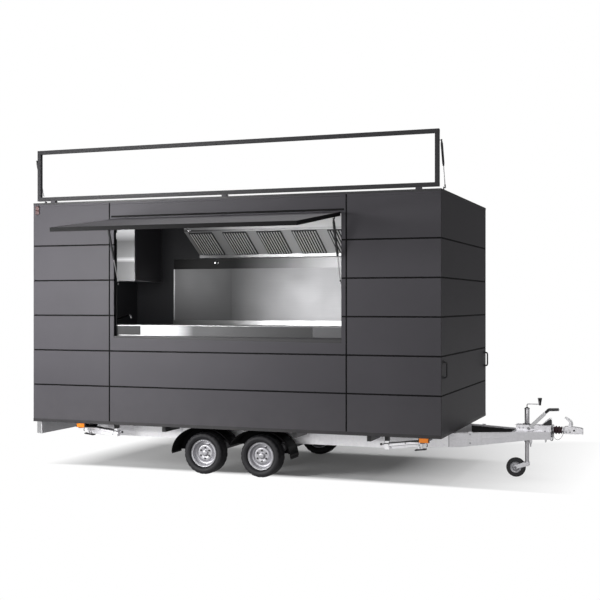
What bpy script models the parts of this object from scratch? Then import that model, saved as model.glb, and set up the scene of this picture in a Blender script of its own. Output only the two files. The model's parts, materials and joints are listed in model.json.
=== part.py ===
"""Food trailer: a box body on a tandem chassis with a serving hatch, roof sign frame and drawbar.

Metres, +Z up. +X points to the coupling, -Y is the serving side. Everything is modelled in the
trailer's own frame (X = 0 at the middle of the body, Y = 0 on the centreline, Z = 0 on the
ground) and hangs from one empty, which puts the bottom centre of the whole part at the origin.
"""
import math

import bmesh
import bpy
from mathutils import Matrix, Vector

# Body box
BODY_LENGTH = 4.55
BODY_WIDTH = 2.30
FLOOR_UNDERSIDE = 0.50
FLOOR_THICKNESS = 0.030
BODY_HEIGHT = 2.39
WALL = 0.050
ROOF_THICKNESS = 0.040
SEAT_GAP = 0.0003
MITRE_GAP = 0.0005
WELD = 0.004
FLUSH = 0.0005
CUT_PAST = 0.010

# Cladding seams
SEAM_COUNT = 5
TOP_PANEL = 0.470
SEAM_WIDTH = 0.008
SEAM_DEPTH = 0.006
COLUMN_FRONT = 0.949
COLUMN_REAR = 0.949

# Serving hatch
HATCH_RIM = 0.052
HATCH_SILL = 1.444
HATCH_HEAD_DROP = 0.195
FLAP_SIDE_GAP = 0.009
FLAP_FOOT_GAP = 0.011
FLAP_THICKNESS = 0.038
FLAP_HEAD_GAP = 0.006
FLAP_DROOP = 8.1
FLAP_KNUCKLE = 0.0055
FLAP_KNUCKLE_LENGTH = 0.050
FLAP_KNUCKLE_GAP = 0.0008
FLAP_HINGE_INSET = 0.160
FLAP_LEAF_LAP = 0.020
FLAP_EAR_FOOT = 0.012
FLAP_EAR_TOP = 0.008
FLAP_EAR_PAST = 0.007

# Hatch gas struts
HATCH_STRUT_OUT = 0.180
HATCH_STRUT_DEPTH = 0.055
HATCH_STRUT_FOOT_DROP = 0.695
HATCH_STRUT_SIDE = 0.025
HATCH_STRUT_CLOSED = 0.380
STRUT_RADIUS = 0.010
ROD_RADIUS = 0.0045
EYE_RADIUS = 0.009
EYE_HALF = 0.004
STUD_RADIUS = 0.004
EAR = 0.005
EAR_HALF = 0.014
STRUT_EAR_CLEARANCE = 0.003
JAMB_EAR_LAP = 0.016
JAMB_EAR_HALF = 0.015
STRUT_NECK = 0.006
STRUT_BORE_FOOT = 0.016
ROD_INSIDE = 0.040

# Sign frame on the roof
SIGN_TUBE = 0.040
SIGN_END_INSET = 0.030
SIGN_FACE_INSET = 0.030
SIGN_LIFT = 0.025
SIGN_HEIGHT = 0.553
SIGN_AXIS_LIFT = 0.015
SIGN_HINGE_INSET = 0.200
SIGN_HINGE_HALF = 0.024
SIGN_KNUCKLE = 0.011
SIGN_EAR_RADIUS = 0.009
SIGN_EAR_FOOT = 0.008
SIGN_REST_HALF = 0.030
SIGN_EAR_TOP = 0.007
SIGN_STRUT_UP = 0.443
SIGN_STRUT_IN = 0.160
SIGN_STRUT_FOOT = 0.030
SIGN_STRUT_CLOSED = 0.250
SIGN_STRUT_OUT = 0.0215
SIGN_STRUT_RADIUS = 0.009

# Rear door
DOOR_WIDTH = 0.78
DOOR_HEIGHT = 1.90
DOOR_CENTRE_Y = 0.05
DOOR_GAP = 0.006
DOOR_KNUCKLE = 0.008
DOOR_KNUCKLE_LENGTH = 0.090
DOOR_HINGE_SHARES = (0.12, 0.5, 0.88)
DOOR_LEAF_THICKNESS = 0.005
DOOR_LEAF_WIDTH = 0.060
DOOR_GRIP_INSET = 0.070
DOOR_GRIP_HEIGHT = 0.950
DOOR_GRIP_HALF = 0.055
DOOR_GRIP_REACH = 0.030
DOOR_GRIP_THICKNESS = 0.012

# Wheels and axles
WHEEL_RADIUS = 0.220
TYRE_WIDTH = 0.190
RIM_FLANGE = 0.143
RIM_SEAT = 0.127
RIM_HALF_WIDTH = 0.066
WHEEL_INSET = 0.143
FRONT_AXLE_BACK = 1.930
AXLE_SPACING = 0.645
WHEEL_SIDES = 24
DISC_SEAT = 0.012
DISC_THICKNESS = 0.014
DISC_DISH = 0.016
RIM_LIP = 0.006
HUB_CAP_RADIUS = 0.033
HUB_CAP_HEIGHT = 0.024
DISC_FLAT = 0.078
DISC_CROWN = 0.100
DISC_STEP = 0.008
DRUM_RADIUS = 0.098
DRUM_WIDTH = 0.055
HUB_RADIUS = 0.055
AXLE_TUBE = 0.045
TRAIL = 0.150
ARM_THICKNESS = 0.022
ARM_CLEAR = 0.012
ARM_HALF = 0.035
STUB_RADIUS = 0.030

# Mudguards
GUARD_PAST_MIDDLE = 0.0275
GUARD_THICKNESS = 0.004
GUARD_OUT = 0.018
GUARD_IN = 0.030
GUARD_STEPS = 14
GUARD_END = 2.0

# Chassis
RAIL_INSET = 0.420
RAIL_WIDTH = 0.050
RAIL_DEPTH = 0.165
RAIL_REAR_BACK = 4.060
RAIL_BEND_BACK = 0.675
RAIL_TAIL_DEPTH = 0.045
CROSS_WIDTH = 0.040
CROSS_DEPTH = 0.060
CROSS_END_INSET = 0.060
CROSS_REAR_AHEAD = 0.550
CROSS_GUARD_CLEARANCE = 0.060
CROSS_MIDDLE_AHEAD = 0.060
CROSS_BEND_BACK = 0.060
CROSS_FRONT_BACK = 0.200
RAIL_LAP = 0.010
RAIL_WALL = 0.003
DRAWBAR_JOINT_BACK = 0.075
DRAWBAR_TIP = 0.885
DRAWBAR_TIP_HALF = 0.062
DRAWBAR_DROP = 0.019
DRAWBAR_TIP_DEPTH = 0.076
DRAWBAR_KNEE = 0.725
DRAWBAR_TAPER_BACK = 0.100
DRAWBAR_TIP_WIDTH = 0.045
DECK_BACK = 0.020
DECK_LIP = 0.004
BOSS_BACK = 0.694
BOSS_RADIUS = 0.016
BOSS_HALF = 0.030
BOSS_CONE_FOOT = 0.075
BOSS_CONE_RADIUS = 0.014
BOSS_INSET = 0.020
LAMP_BAR_DEPTH = 0.144
LAMP_BAR_THICKNESS = 0.060
LAMP_BAR_OVERHANG = 0.025
LAMP_BAR_INSET = 0.110

# Coupling and jockey wheel
COUPLING_TIP = 1.200
HOUSING_REAR = 0.534
HOUSING_FRONT = 0.905
HOUSING_HALF = 0.055
HOUSING_HEIGHT = 0.058
END_PLATE = 0.020
END_PLATE_DROP = 0.083
END_PLATE_LIP = 0.010
SECTOR_REAR = 0.125
SECTOR_PEAK = 0.045
SECTOR_NOSE = 0.015
SECTOR_HEIGHT = 0.072
SECTOR_THICKNESS = 0.012
PLATE_THICKNESS = 0.010
COUPLING_Z = 0.500
BELLOWS_LENGTH = 0.090
BELLOWS_RIDGE = 0.046
BELLOWS_VALLEY = 0.031
BELLOWS_FOLDS = 3
BELLOWS_TAPER = 0.003
SHAFT_RADIUS = 0.022
HEAD_LENGTH = 0.180
HEAD_HALF = 0.038
SHAFT_LAP = 0.050
HEAD_SIDE = ((0.0, -0.034), (0.100, -0.034), (0.176, -0.030), (0.180, -0.036), (0.180, 0.022),
             (0.160, 0.030), (0.050, 0.044), (0.0, 0.040))
HEAD_HANDLE = ((0.070, 0.020), (0.064, 0.085), (0.048, 0.105), (0.010, 0.137), (-0.002, 0.128),
               (0.034, 0.096), (0.044, 0.080), (0.040, 0.020))
CUP_RADIUS = 0.026
CUP_BACK = 0.050
CUP_CROWN = 0.002
HANDLE_HALF = 0.020
LEVER_RADIUS = 0.0098
GRIP_RADIUS = 0.0135
LEVER_PIVOT = 0.668
LEVER_PIVOT_LIFT = 0.025
LEVER_OUT = 0.010
LEVER_HUB_RADIUS = 0.022
LEVER_ELBOW = 0.835
LEVER_RISE = 0.165
GRIP_END = 0.970
GRIP_RUN = 0.035
GRIP_RISE = 0.030
GRIP_TIP_RISE = 0.006
BRAKE_ROD_RADIUS = 0.005
BRAKE_ROD_Y = 0.060
JOCKEY_AHEAD = 0.640
JOCKEY_TUBE = 0.024
JOCKEY_INNER = 0.0205
JOCKEY_TOP = 0.713
JOCKEY_TUBE_FOOT = 0.365
JOCKEY_LID = 0.012
JOCKEY_LEG_SHORT = 0.200
CRANK_LIFT = 0.044
CRANK_BEND = 0.011
CRANK_REACH = 0.132
CRANK_RADIUS = 0.0055
KNOB_HEIGHT = 0.064
KNOB_FOOT = 0.008
KNOB_TOP = 0.020
JOCKEY_RADIUS = 0.100
JOCKEY_WIDTH = 0.050
JOCKEY_TRAIL = 0.113
FORK_PLATE = 0.005
FORK_CLEARANCE = 0.005
FORK_AHEAD = 0.022
FORK_SKIRT = 0.030
FORK_END = 0.014
FORK_PIN_RADIUS = 0.006
FORK_TOP = 0.165

# Corner steadies
STEADY_INSET = 0.200
STEADY_FRONT_BACK = 0.585
STEADY_REAR_BACK = 0.925
STEADY_AXIS_Z = 0.368
STEADY_LENGTH = 0.360
STEADY_RISE = 7.0
STEADY_WIDTH = 0.040
STEADY_THICKNESS = 0.022
STEADY_BASE = 0.030
STEADY_BASE_CLEARANCE = 0.006
STEADY_BASE_LAP = 0.030
STEADY_BASE_SIDE = 0.012
STEADY_EAR_CLEARANCE = 0.0035
STEADY_EAR_HALF = 0.022
STEADY_EAR_FOOT = 0.015
STEADY_HANGER_HALF = 0.020
STEADY_PIN_RADIUS = 0.006
STEADY_NECK_BACK = 0.045
FOOT_DROP = 0.040
PAD_REAR = 0.075
PAD_FRONT = 0.020
PAD_THICKNESS = 0.012

# Lamps and handles
REAR_LAMP_INSET = 0.020
REAR_LAMP_LENGTH = 0.240
REAR_LAMP_DEPTH = 0.012
SIDE_LAMP_LENGTH = 0.090
SIDE_LAMP_HEIGHT = 0.045
SIDE_LAMP_DEPTH = 0.028
SIDE_LAMP_INSET = 0.012
SIDE_LAMP_FRONT_BACK = 0.175
SIDE_LAMP_REAR_BACK = 3.965
HANDLE_HEIGHT = 0.150
HANDLE_REACH = 0.045
HANDLE_RADIUS = 0.009
HANDLE_BEND = 0.018
HANDLE_Z = 1.157
HANDLE_INSET = 0.085

# Kitchen
SERVING_TOP = 1.560
SERVING_DEPTH = 0.580
SERVING_APRON = 0.100
WORKTOP = 0.040
COOK_TOP = 1.450
COOK_DEPTH = 0.650
COOK_UPSTAND = 0.130
UPSTAND_THICKNESS = 0.030
PLINTH = 0.100
PLINTH_RECESS = 0.060
PLINTH_INSET = 0.020
COUNTER_LIP = 0.030
APRON_THICKNESS = 0.020
SPLASHBACK_REAR_BACK = 3.970
SPLASHBACK_THICKNESS = 0.008
HOOD_REAR_BACK = 3.510
HOOD_DEPTH = 0.650
HOOD_FASCIA_DROP = 0.190
HOOD_GUTTER_DROP = 0.495
HOOD_GUTTER_HEIGHT = 0.037
HOOD_GUTTER_DEPTH = 0.195
HOOD_LIP = 0.012
HOOD_EDGE = 0.018
FILTER_INSET = 0.070
FILTER_MARGIN = 0.060
BAFFLE_END = 0.025
FILTER_PITCH = 0.440
BAFFLES = 9
BAFFLE_PITCH = 0.033
BAFFLE_WIDTH = 0.016
BAFFLE_PROUD = 0.012
CABINET_DEPTH = 0.347
CABINET_WIDTH = 0.700
CABINET_HEIGHT = 0.784
SINK_WIDTH = 0.300
SINK_LENGTH = 0.340
SINK_DEPTH = 0.140
SINK_MARGIN = 0.012
TAP_BACK = 3.740
TAP_BODY_RADIUS = 0.020
TAP_BODY_HEIGHT = 0.026
TAP_NECK = 0.035
TAP_BEND = 0.012
TAP_SPOUT_DROP = 0.034
TAP_HEIGHT = 0.105
TAP_REACH = 0.210
TAP_RADIUS = 0.009

# Breakaway cable: its route is (along, aside, up) from where it leaves the housing
CABLE_RADIUS = 0.002
CABLE_DROP = 0.061
CABLE_Y = -0.020
CABLE_ROUTE = ((0.0, 0.0, 0.0), (0.005, 0.0, 0.0), (0.010, -0.001, -0.006), (0.017, -0.002, -0.016),
               (0.025, -0.003, -0.027), (0.036, -0.004, -0.034), (0.050, -0.004, -0.036),
               (0.064, -0.004, -0.031), (0.076, -0.004, -0.021), (0.087, -0.003, -0.007),
               (0.096, -0.002, 0.009), (0.103, -0.001, 0.025), (0.109, 0.0, 0.034))

X_FRONT = BODY_LENGTH / 2
X_REAR = -BODY_LENGTH / 2
Y_SIDE = BODY_WIDTH / 2
Z_FLOOR = FLOOR_UNDERSIDE + FLOOR_THICKNESS
Z_TOP = FLOOR_UNDERSIDE + BODY_HEIGHT
Z_CEILING = Z_TOP - ROOF_THICKNESS
SEAM_PITCH = (Z_TOP - Z_FLOOR - TOP_PANEL) / SEAM_COUNT
HATCH_TOP = Z_TOP - HATCH_HEAD_DROP
HATCH_STRUT_FOOT_Z = HATCH_TOP - HATCH_STRUT_FOOT_DROP
HOOD_FASCIA_Z = Z_CEILING - HOOD_FASCIA_DROP
HOOD_GUTTER_Z = Z_CEILING - HOOD_GUTTER_DROP
HOOD_GUTTER_TOP = HOOD_GUTTER_Z + HOOD_GUTTER_HEIGHT
CABINET_FOOT_Z = Z_CEILING - CABINET_HEIGHT
X_FRONT_AXLE = X_FRONT - FRONT_AXLE_BACK
X_REAR_AXLE = X_FRONT_AXLE - AXLE_SPACING
GUARD_REACH = AXLE_SPACING / 2 + GUARD_PAST_MIDDLE
Y_WHEEL = Y_SIDE - WHEEL_INSET - TYRE_WIDTH / 2
HATCH_X0 = X_REAR + COLUMN_REAR + HATCH_RIM
HATCH_X1 = X_FRONT - COLUMN_FRONT - HATCH_RIM
FLAP_LENGTH = HATCH_TOP - HATCH_SILL - FLAP_FOOT_GAP
Z_RAIL = FLOOR_UNDERSIDE - SEAT_GAP
Y_RAIL = Y_SIDE - RAIL_INSET


def make_collection(name):
    """A new collection under the scene's own."""
    group = bpy.data.collections.new(name)
    bpy.context.scene.collection.children.link(group)
    return group


def clear_scene():
    """Remove what the file holds before the model is made."""
    for item in list(bpy.data.objects):
        bpy.data.objects.remove(item, do_unlink=True)
    for group in list(bpy.data.collections):
        bpy.data.collections.remove(group)


clear_scene()
PARTS = make_collection("food_trailer")
CUTTERS = make_collection("cutters")
anchor = bpy.data.objects.new("trailer_frame", None)
PARTS.objects.link(anchor)


def finish(name, color, roughness=0.5, metallic=0.0):
    """A plain Principled material."""
    mat = bpy.data.materials.new(name)
    mat.use_nodes = True
    shader = mat.node_tree.nodes["Principled BSDF"]
    shader.inputs["Base Color"].default_value = (*color, 1.0)
    shader.inputs["Roughness"].default_value = roughness
    shader.inputs["Metallic"].default_value = metallic
    return mat


CLADDING = finish("cladding", (0.085, 0.083, 0.088), 0.45)
BLACK_METAL = finish("black_metal", (0.02, 0.02, 0.022), 0.4)
GALVANISED = finish("galvanised", (0.58, 0.58, 0.60), 0.45, 0.8)
STAINLESS = finish("stainless", (0.62, 0.62, 0.62), 0.28, 1.0)
RUBBER = finish("rubber", (0.015, 0.015, 0.016), 0.8)
RIM_STEEL = finish("rim_steel", (0.66, 0.66, 0.68), 0.3, 0.9)
GUARD_PLASTIC = finish("guard_plastic", (0.012, 0.012, 0.013), 0.5)
AMBER = finish("amber", (0.9, 0.28, 0.02), 0.2)
FLOORING = finish("flooring", (0.05, 0.05, 0.052), 0.7)
CABLE_COAT = finish("cable_coat", (0.03, 0.03, 0.03), 0.5)


def mesh_object(name, bm, group=PARTS):
    """An object from a bmesh, hanging from the trailer's empty."""
    mesh = bpy.data.meshes.new(name)
    bm.to_mesh(mesh)
    bm.free()
    obj = bpy.data.objects.new(name, mesh)
    group.objects.link(obj)
    obj.parent = anchor
    return obj


def add_box(bm, low, high):
    """One axis-aligned box in a bmesh."""
    size = [b - a for a, b in zip(low, high)]
    centre = [(a + b) / 2 for a, b in zip(low, high)]
    matrix = Matrix.Translation(centre) @ Matrix.Diagonal((*size, 1.0))
    bmesh.ops.create_cube(bm, size=1.0, matrix=matrix)


def box(name, low, high, group=PARTS):
    """A box between two corners."""
    bm = bmesh.new()
    add_box(bm, low, high)
    return mesh_object(name, bm, group)


def boxes(name, corners, group=PARTS):
    """Several boxes that don't touch, in one mesh."""
    bm = bmesh.new()
    for low, high in corners:
        add_box(bm, low, high)
    return mesh_object(name, bm, group)


def along(start, end):
    """The matrix that stands a Z cylinder between two points, and its length."""
    a, b = Vector(start), Vector(end)
    turn = (b - a).to_track_quat("Z", "Y").to_matrix().to_4x4()
    return Matrix.Translation((a + b) / 2) @ turn, (b - a).length


def rod(name, start, end, radius, sides=16, group=PARTS, tip_radius=None):
    """A round bar, or a cone, between two points."""
    bm = bmesh.new()
    matrix, length = along(start, end)
    tip = radius if tip_radius is None else tip_radius
    bmesh.ops.create_cone(bm, cap_ends=True, segments=sides, radius1=radius, radius2=tip,
                          depth=length, matrix=matrix)
    return mesh_object(name, bm, group)


def as_mesh(curve_object, group):
    """A curve object made a mesh, with its caps welded."""
    bpy.context.view_layer.update()
    graph = bpy.context.evaluated_depsgraph_get()
    mesh = bpy.data.meshes.new_from_object(curve_object.evaluated_get(graph))
    matrix = curve_object.matrix_basis.copy()
    name = curve_object.name
    bpy.data.objects.remove(curve_object, do_unlink=True)
    bm = bmesh.new()
    bm.from_mesh(mesh)
    bmesh.ops.remove_doubles(bm, verts=bm.verts, dist=0.00001)
    bmesh.ops.recalc_face_normals(bm, faces=bm.faces)
    obj = mesh_object(name, bm, group)
    obj.data.transform(matrix)
    return obj


def plate(name, outline, low, high, plane="XY", group=PARTS):
    """A flat outline, thick from low to high along the plane's normal."""
    curve = bpy.data.curves.new(name, "CURVE")
    curve.dimensions = "2D"
    curve.fill_mode = "BOTH"
    curve.extrude = (high - low) / 2
    spline = curve.splines.new("POLY")
    spline.points.add(len(outline) - 1)
    for point, (u, v) in zip(spline.points, outline):
        point.co = (u, v, 0.0, 1.0)
    spline.use_cyclic_u = True
    obj = bpy.data.objects.new(name, curve)
    group.objects.link(obj)
    middle = (low + high) / 2
    if plane == "XY":
        obj.location = (0.0, 0.0, middle)
    elif plane == "XZ":
        obj.rotation_euler = (math.pi / 2, 0.0, 0.0)
        obj.location = (0.0, middle, 0.0)
    else:
        obj.rotation_euler = (math.pi / 2, 0.0, math.pi / 2)
        obj.location = (middle, 0.0, 0.0)
    return as_mesh(obj, group)


def tube(name, points, radius, group=PARTS, resolution=2):
    """A round bar along a list of points."""
    curve = bpy.data.curves.new(name, "CURVE")
    curve.dimensions = "3D"
    curve.bevel_depth = radius
    curve.bevel_resolution = resolution
    curve.use_fill_caps = True
    spline = curve.splines.new("POLY")
    spline.points.add(len(points) - 1)
    for point, place in zip(spline.points, points):
        point.co = (*place, 1.0)
    obj = bpy.data.objects.new(name, curve)
    group.objects.link(obj)
    return as_mesh(obj, group)


def turned(name, profile, place, outward, sides, rolling=False, group=PARTS):
    """A profile of (radius, height) turned about an axis through place, +height along outward.

    What rolls has its facets at the profile's radius and stands on one of them.
    """
    bm = bmesh.new()
    half_step = math.pi / sides if rolling else 0.0
    grow = 1.0 / math.cos(half_step)
    across, aside = grow * math.cos(half_step), grow * math.sin(half_step)
    verts = [bm.verts.new((radius * across, radius * aside, height)) for radius, height in profile]
    for first, second in zip(verts, verts[1:]):
        bm.edges.new((first, second))
    if profile[0][0] > 0.0:
        bm.edges.new((verts[-1], verts[0]))
    obj = mesh_object(name, bm, group)
    obj.location = place
    obj.rotation_euler = Vector(outward).to_track_quat("Z", "Y").to_euler()
    screw = obj.modifiers.new("turn", "SCREW")
    screw.axis = "Z"
    screw.angle = 2 * math.pi
    screw.steps = sides
    screw.render_steps = sides
    screw.use_merge_vertices = True
    screw.merge_threshold = 0.00005
    screw.use_smooth_shade = True
    return obj


def combine(obj, operation, *tools):
    """Union with, or cut by, each tool in turn."""
    for tool in tools:
        modifier = obj.modifiers.new(tool.name, "BOOLEAN")
        modifier.operation = operation
        modifier.object = tool
        modifier.solver = "EXACT"
        tool.hide_render = True
        tool.display_type = "WIRE"
    return obj


def join(obj, *tools):
    """Union with each tool."""
    return combine(obj, "UNION", *tools)


def cut(obj, *tools):
    """Cut by each tool."""
    return combine(obj, "DIFFERENCE", *tools)


def dress(obj, material):
    """Give an object its material."""
    obj.data.materials.clear()
    obj.data.materials.append(material)
    return obj


def hang(obj, pivot):
    """Move an object's origin to its joint's axis and leave its shape where it is."""
    obj.data.transform(Matrix.Translation(-Vector(pivot)))
    obj.location = pivot
    return obj


def smooth(obj, angle=35.0):
    """Round faces smooth, corners sharp."""
    obj.data.shade_smooth()
    obj.data.set_sharp_from_angle(angle=math.radians(angle))
    return obj


def seam_heights():
    """The heights of the cladding's level seams."""
    return [Z_FLOOR + SEAM_PITCH * (row + 1) for row in range(SEAM_COUNT)]


def level_seams(name, low_xy, high_xy):
    """The cutter for the level seams of one face."""
    half = SEAM_WIDTH / 2
    corners = []
    for height in seam_heights():
        corners.append(((*low_xy, height - half), (*high_xy, height + half)))
    return boxes(name, corners, CUTTERS)


def build_walls():
    """Floor, four mitred walls and the rear door."""
    low_z = Z_FLOOR + SEAT_GAP
    high_z = Z_CEILING - SEAT_GAP
    past = CUT_PAST
    dress(box("floor_deck", (X_REAR, -Y_SIDE, FLOOR_UNDERSIDE), (X_FRONT, Y_SIDE, Z_FLOOR)), FLOORING)

    for name, side in (("wall_serving", -1), ("wall_offside", 1)):
        outline = [(X_REAR, side * Y_SIDE), (X_FRONT, side * Y_SIDE),
                   (X_FRONT - WALL, side * (Y_SIDE - WALL)), (X_REAR + WALL, side * (Y_SIDE - WALL))]
        wall = dress(plate(name, outline, low_z, high_z), CLADDING)
        face = sorted((side * (Y_SIDE - SEAM_DEPTH), side * (Y_SIDE + past)))
        cut(wall, level_seams(name + "_level_seams", (X_REAR - past, face[0]), (X_FRONT + past, face[1])))
        half = SEAM_WIDTH / 2
        uprights = []
        for x in (X_REAR + COLUMN_REAR, X_FRONT - COLUMN_FRONT):
            uprights.append(((x - half, face[0], low_z - past), (x + half, face[1], high_z + past)))
        cut(wall, boxes(name + "_upright_seams", uprights, CUTTERS))
        if side < 0:
            opening = box("hatch_cut", (HATCH_X0, -Y_SIDE - past, HATCH_SILL),
                          (HATCH_X1, -Y_SIDE + WALL + past, HATCH_TOP), CUTTERS)
            cut(wall, opening)
            add_head_knuckles(wall)
            add_jamb_ears(wall)

    for name, end in (("wall_front", 1), ("wall_rear", -1)):
        x_out, x_in = end * X_FRONT, end * (X_FRONT - WALL)
        edge = Y_SIDE - MITRE_GAP
        outline = [(x_out, -edge), (x_out, edge), (x_in, edge - WALL), (x_in, -edge + WALL)]
        wall = dress(plate(name, outline, low_z, high_z), CLADDING)
        face = sorted((end * (X_FRONT - SEAM_DEPTH), end * (X_FRONT + past)))
        cut(wall, level_seams(name + "_level_seams", (face[0], -Y_SIDE - past), (face[1], Y_SIDE + past)))
        if end < 0:
            cut(wall, box("door_cut", (X_REAR - past, DOOR_CENTRE_Y - DOOR_WIDTH / 2, low_z - past),
                          (X_REAR + WALL + past, DOOR_CENTRE_Y + DOOR_WIDTH / 2, low_z + DOOR_HEIGHT),
                          CUTTERS))


def flap_hinge_places():
    """The X of each hinge of the hatch flap."""
    end = HATCH_X1 - FLAP_SIDE_GAP - FLAP_HINGE_INSET
    return (-end, 0.0, end)


def add_head_knuckles(wall):
    """The fixed knuckles of the flap's hinges, and the room that its own knuckles turn in."""
    half = FLAP_KNUCKLE_LENGTH / 2
    reach = half + FLAP_KNUCKLE_GAP
    for number, x in enumerate(flap_hinge_places()):
        room = rod("flap_room_%d" % number, (x - reach, -Y_SIDE, HATCH_TOP), (x + reach, -Y_SIDE, HATCH_TOP),
                   FLAP_KNUCKLE + FLAP_KNUCKLE_GAP, 16, CUTTERS)
        cut(wall, room)
        for side in (-1, 1):
            near = x + side * reach
            far = near + side * half
            knuckle = rod("head_knuckle_%d_%d" % (number, side), (near, -Y_SIDE, HATCH_TOP),
                          (far, -Y_SIDE, HATCH_TOP), FLAP_KNUCKLE, 16, CUTTERS)
            join(wall, knuckle)


def jamb_sides():
    """The X of each hatch strut and the way from it to its jamb."""
    return (("rear", HATCH_X0 + HATCH_STRUT_SIDE, -1), ("front", HATCH_X1 - HATCH_STRUT_SIDE, 1))


def add_jamb_ears(wall):
    """The ears and studs that carry the feet of the hatch struts."""
    y_foot = -Y_SIDE + HATCH_STRUT_DEPTH
    for word, x, toward in jamb_sides():
        near = x + toward * (STRUT_RADIUS + STRUT_EAR_CLEARANCE)
        far = x + toward * (HATCH_STRUT_SIDE + JAMB_EAR_LAP)
        low_x, high_x = sorted((near, far))
        ear = box("jamb_ear_" + word,
                  (low_x, -Y_SIDE + WALL - EAR + FLUSH, HATCH_STRUT_FOOT_Z - JAMB_EAR_HALF),
                  (high_x, y_foot + EAR_HALF, HATCH_STRUT_FOOT_Z + JAMB_EAR_HALF), CUTTERS)
        stud = rod("jamb_stud_" + word, (x + toward * (EYE_HALF + SEAT_GAP), y_foot, HATCH_STRUT_FOOT_Z),
                   (near + toward * WELD, y_foot, HATCH_STRUT_FOOT_Z), STUD_RADIUS, 10, CUTTERS)
        join(wall, ear, stud)


def build_door():
    """The rear door on its outer knuckles."""
    low_y = DOOR_CENTRE_Y - DOOR_WIDTH / 2 + DOOR_GAP
    high_y = DOOR_CENTRE_Y + DOOR_WIDTH / 2 - DOOR_GAP
    low_z = Z_FLOOR + SEAT_GAP + DOOR_GAP
    high_z = Z_FLOOR + SEAT_GAP + DOOR_HEIGHT - DOOR_GAP
    pivot = (X_REAR - DOOR_KNUCKLE, high_y + DOOR_GAP / 2, (low_z + high_z) / 2)
    door = dress(box("rear_door", (X_REAR, low_y, low_z), (X_REAR + WALL, high_y, high_z)), CLADDING)
    hang(door, pivot)
    past = CUT_PAST
    cut(door, level_seams("door_level_seams", (X_REAR - past, low_y - past),
                          (X_REAR + SEAM_DEPTH, high_y + past)))
    half = DOOR_KNUCKLE_LENGTH / 2
    for number, share in enumerate(DOOR_HINGE_SHARES):
        z = low_z + (high_z - low_z) * share
        knuckle = rod("door_knuckle_%d" % number, (pivot[0], pivot[1], z - half),
                      (pivot[0], pivot[1], z + half), DOOR_KNUCKLE - SEAT_GAP, 12, CUTTERS)
        leaf = box("door_leaf_%d" % number,
                   (X_REAR - DOOR_LEAF_THICKNESS, high_y - DOOR_LEAF_WIDTH, z - half),
                   (X_REAR + WELD, pivot[1], z + half), CUTTERS)
        join(door, knuckle, leaf)
    grip_y = low_y + DOOR_GRIP_INSET
    grip_z = Z_FLOOR + DOOR_GRIP_HEIGHT
    thick = DOOR_GRIP_THICKNESS
    grip = box("door_grip", (X_REAR - DOOR_GRIP_REACH, grip_y - DOOR_GRIP_HALF, grip_z - thick),
               (X_REAR - DOOR_GRIP_REACH + thick, grip_y + DOOR_GRIP_HALF, grip_z + thick), CUTTERS)
    stem = box("door_grip_stem",
               (X_REAR - DOOR_GRIP_REACH + thick / 2, grip_y + 2 * thick, grip_z - 0.8 * thick),
               (X_REAR + WELD, grip_y + 4 * thick, grip_z + 0.8 * thick), CUTTERS)
    join(door, stem, grip)


def sign_hinge_places():
    """The X of each hinge of the sign frame."""
    end = X_FRONT - SIGN_END_INSET - SIGN_HINGE_INSET
    return (-end, 0.0, end)


SIGN_Y = -Y_SIDE + SIGN_FACE_INSET + SIGN_TUBE
SIGN_Z = Z_TOP + SIGN_AXIS_LIFT
SIGN_STRUT_Y = SIGN_Y - SIGN_TUBE / 2
SIGN_STRUT_X = X_FRONT - SIGN_END_INSET + SIGN_STRUT_OUT
SIGN_STRUT_TOP_Z = Z_TOP + SIGN_LIFT + SIGN_STRUT_UP
SIGN_STRUT_FOOT_Y = SIGN_STRUT_Y + SIGN_STRUT_IN
SIGN_STRUT_FOOT_Z = Z_TOP + SIGN_STRUT_FOOT


def build_roof():
    """The roof panel with the sign frame's hinge ears and strut brackets."""
    roof = dress(box("roof", (X_REAR, -Y_SIDE, Z_CEILING), (X_FRONT, Y_SIDE, Z_TOP)), CLADDING)
    for number, x in enumerate(sign_hinge_places()):
        for side in (-1, 1):
            inner = x + side * (SIGN_HINGE_HALF / 2 + SEAT_GAP)
            outer = x + side * SIGN_HINGE_HALF
            low_x, high_x = sorted((inner, outer))
            word = "%d_%d" % (number, side)
            ear = rod("sign_ear_" + word, (low_x, SIGN_Y, SIGN_Z), (high_x, SIGN_Y, SIGN_Z),
                      SIGN_EAR_RADIUS, 12, CUTTERS)
            base = box("sign_ear_base_" + word, (low_x, SIGN_Y - SIGN_EAR_FOOT, Z_TOP - WELD),
                       (high_x, SIGN_Y + SIGN_EAR_FOOT, SIGN_Z), CUTTERS)
            join(roof, base, ear)
        rest = box("sign_rest_%d" % number, (x - SIGN_REST_HALF, SIGN_Y - SIGN_TUBE, Z_TOP - WELD),
                   (x + SIGN_REST_HALF, SIGN_Y - SIGN_KNUCKLE - WELD, Z_TOP + SIGN_LIFT - SEAT_GAP), CUTTERS)
        join(roof, rest)
    for side in (-1, 1):
        inner = side * (X_FRONT - SIGN_END_INSET + EAR)
        outer = inner + side * EAR
        low_x, high_x = sorted((inner, outer))
        ear = box("roof_ear_%d" % side, (low_x, SIGN_STRUT_FOOT_Y - EAR_HALF, Z_TOP - WELD),
                  (high_x, SIGN_STRUT_FOOT_Y + EAR_HALF, SIGN_STRUT_FOOT_Z + SIGN_EAR_TOP), CUTTERS)
        x = side * SIGN_STRUT_X
        stud = rod("roof_stud_%d" % side, (inner + side * WELD / 2, SIGN_STRUT_FOOT_Y, SIGN_STRUT_FOOT_Z),
                   (x - side * (EYE_HALF + SEAT_GAP), SIGN_STRUT_FOOT_Y, SIGN_STRUT_FOOT_Z),
                   STUD_RADIUS, 10, CUTTERS)
        join(roof, ear, stud)


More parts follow.
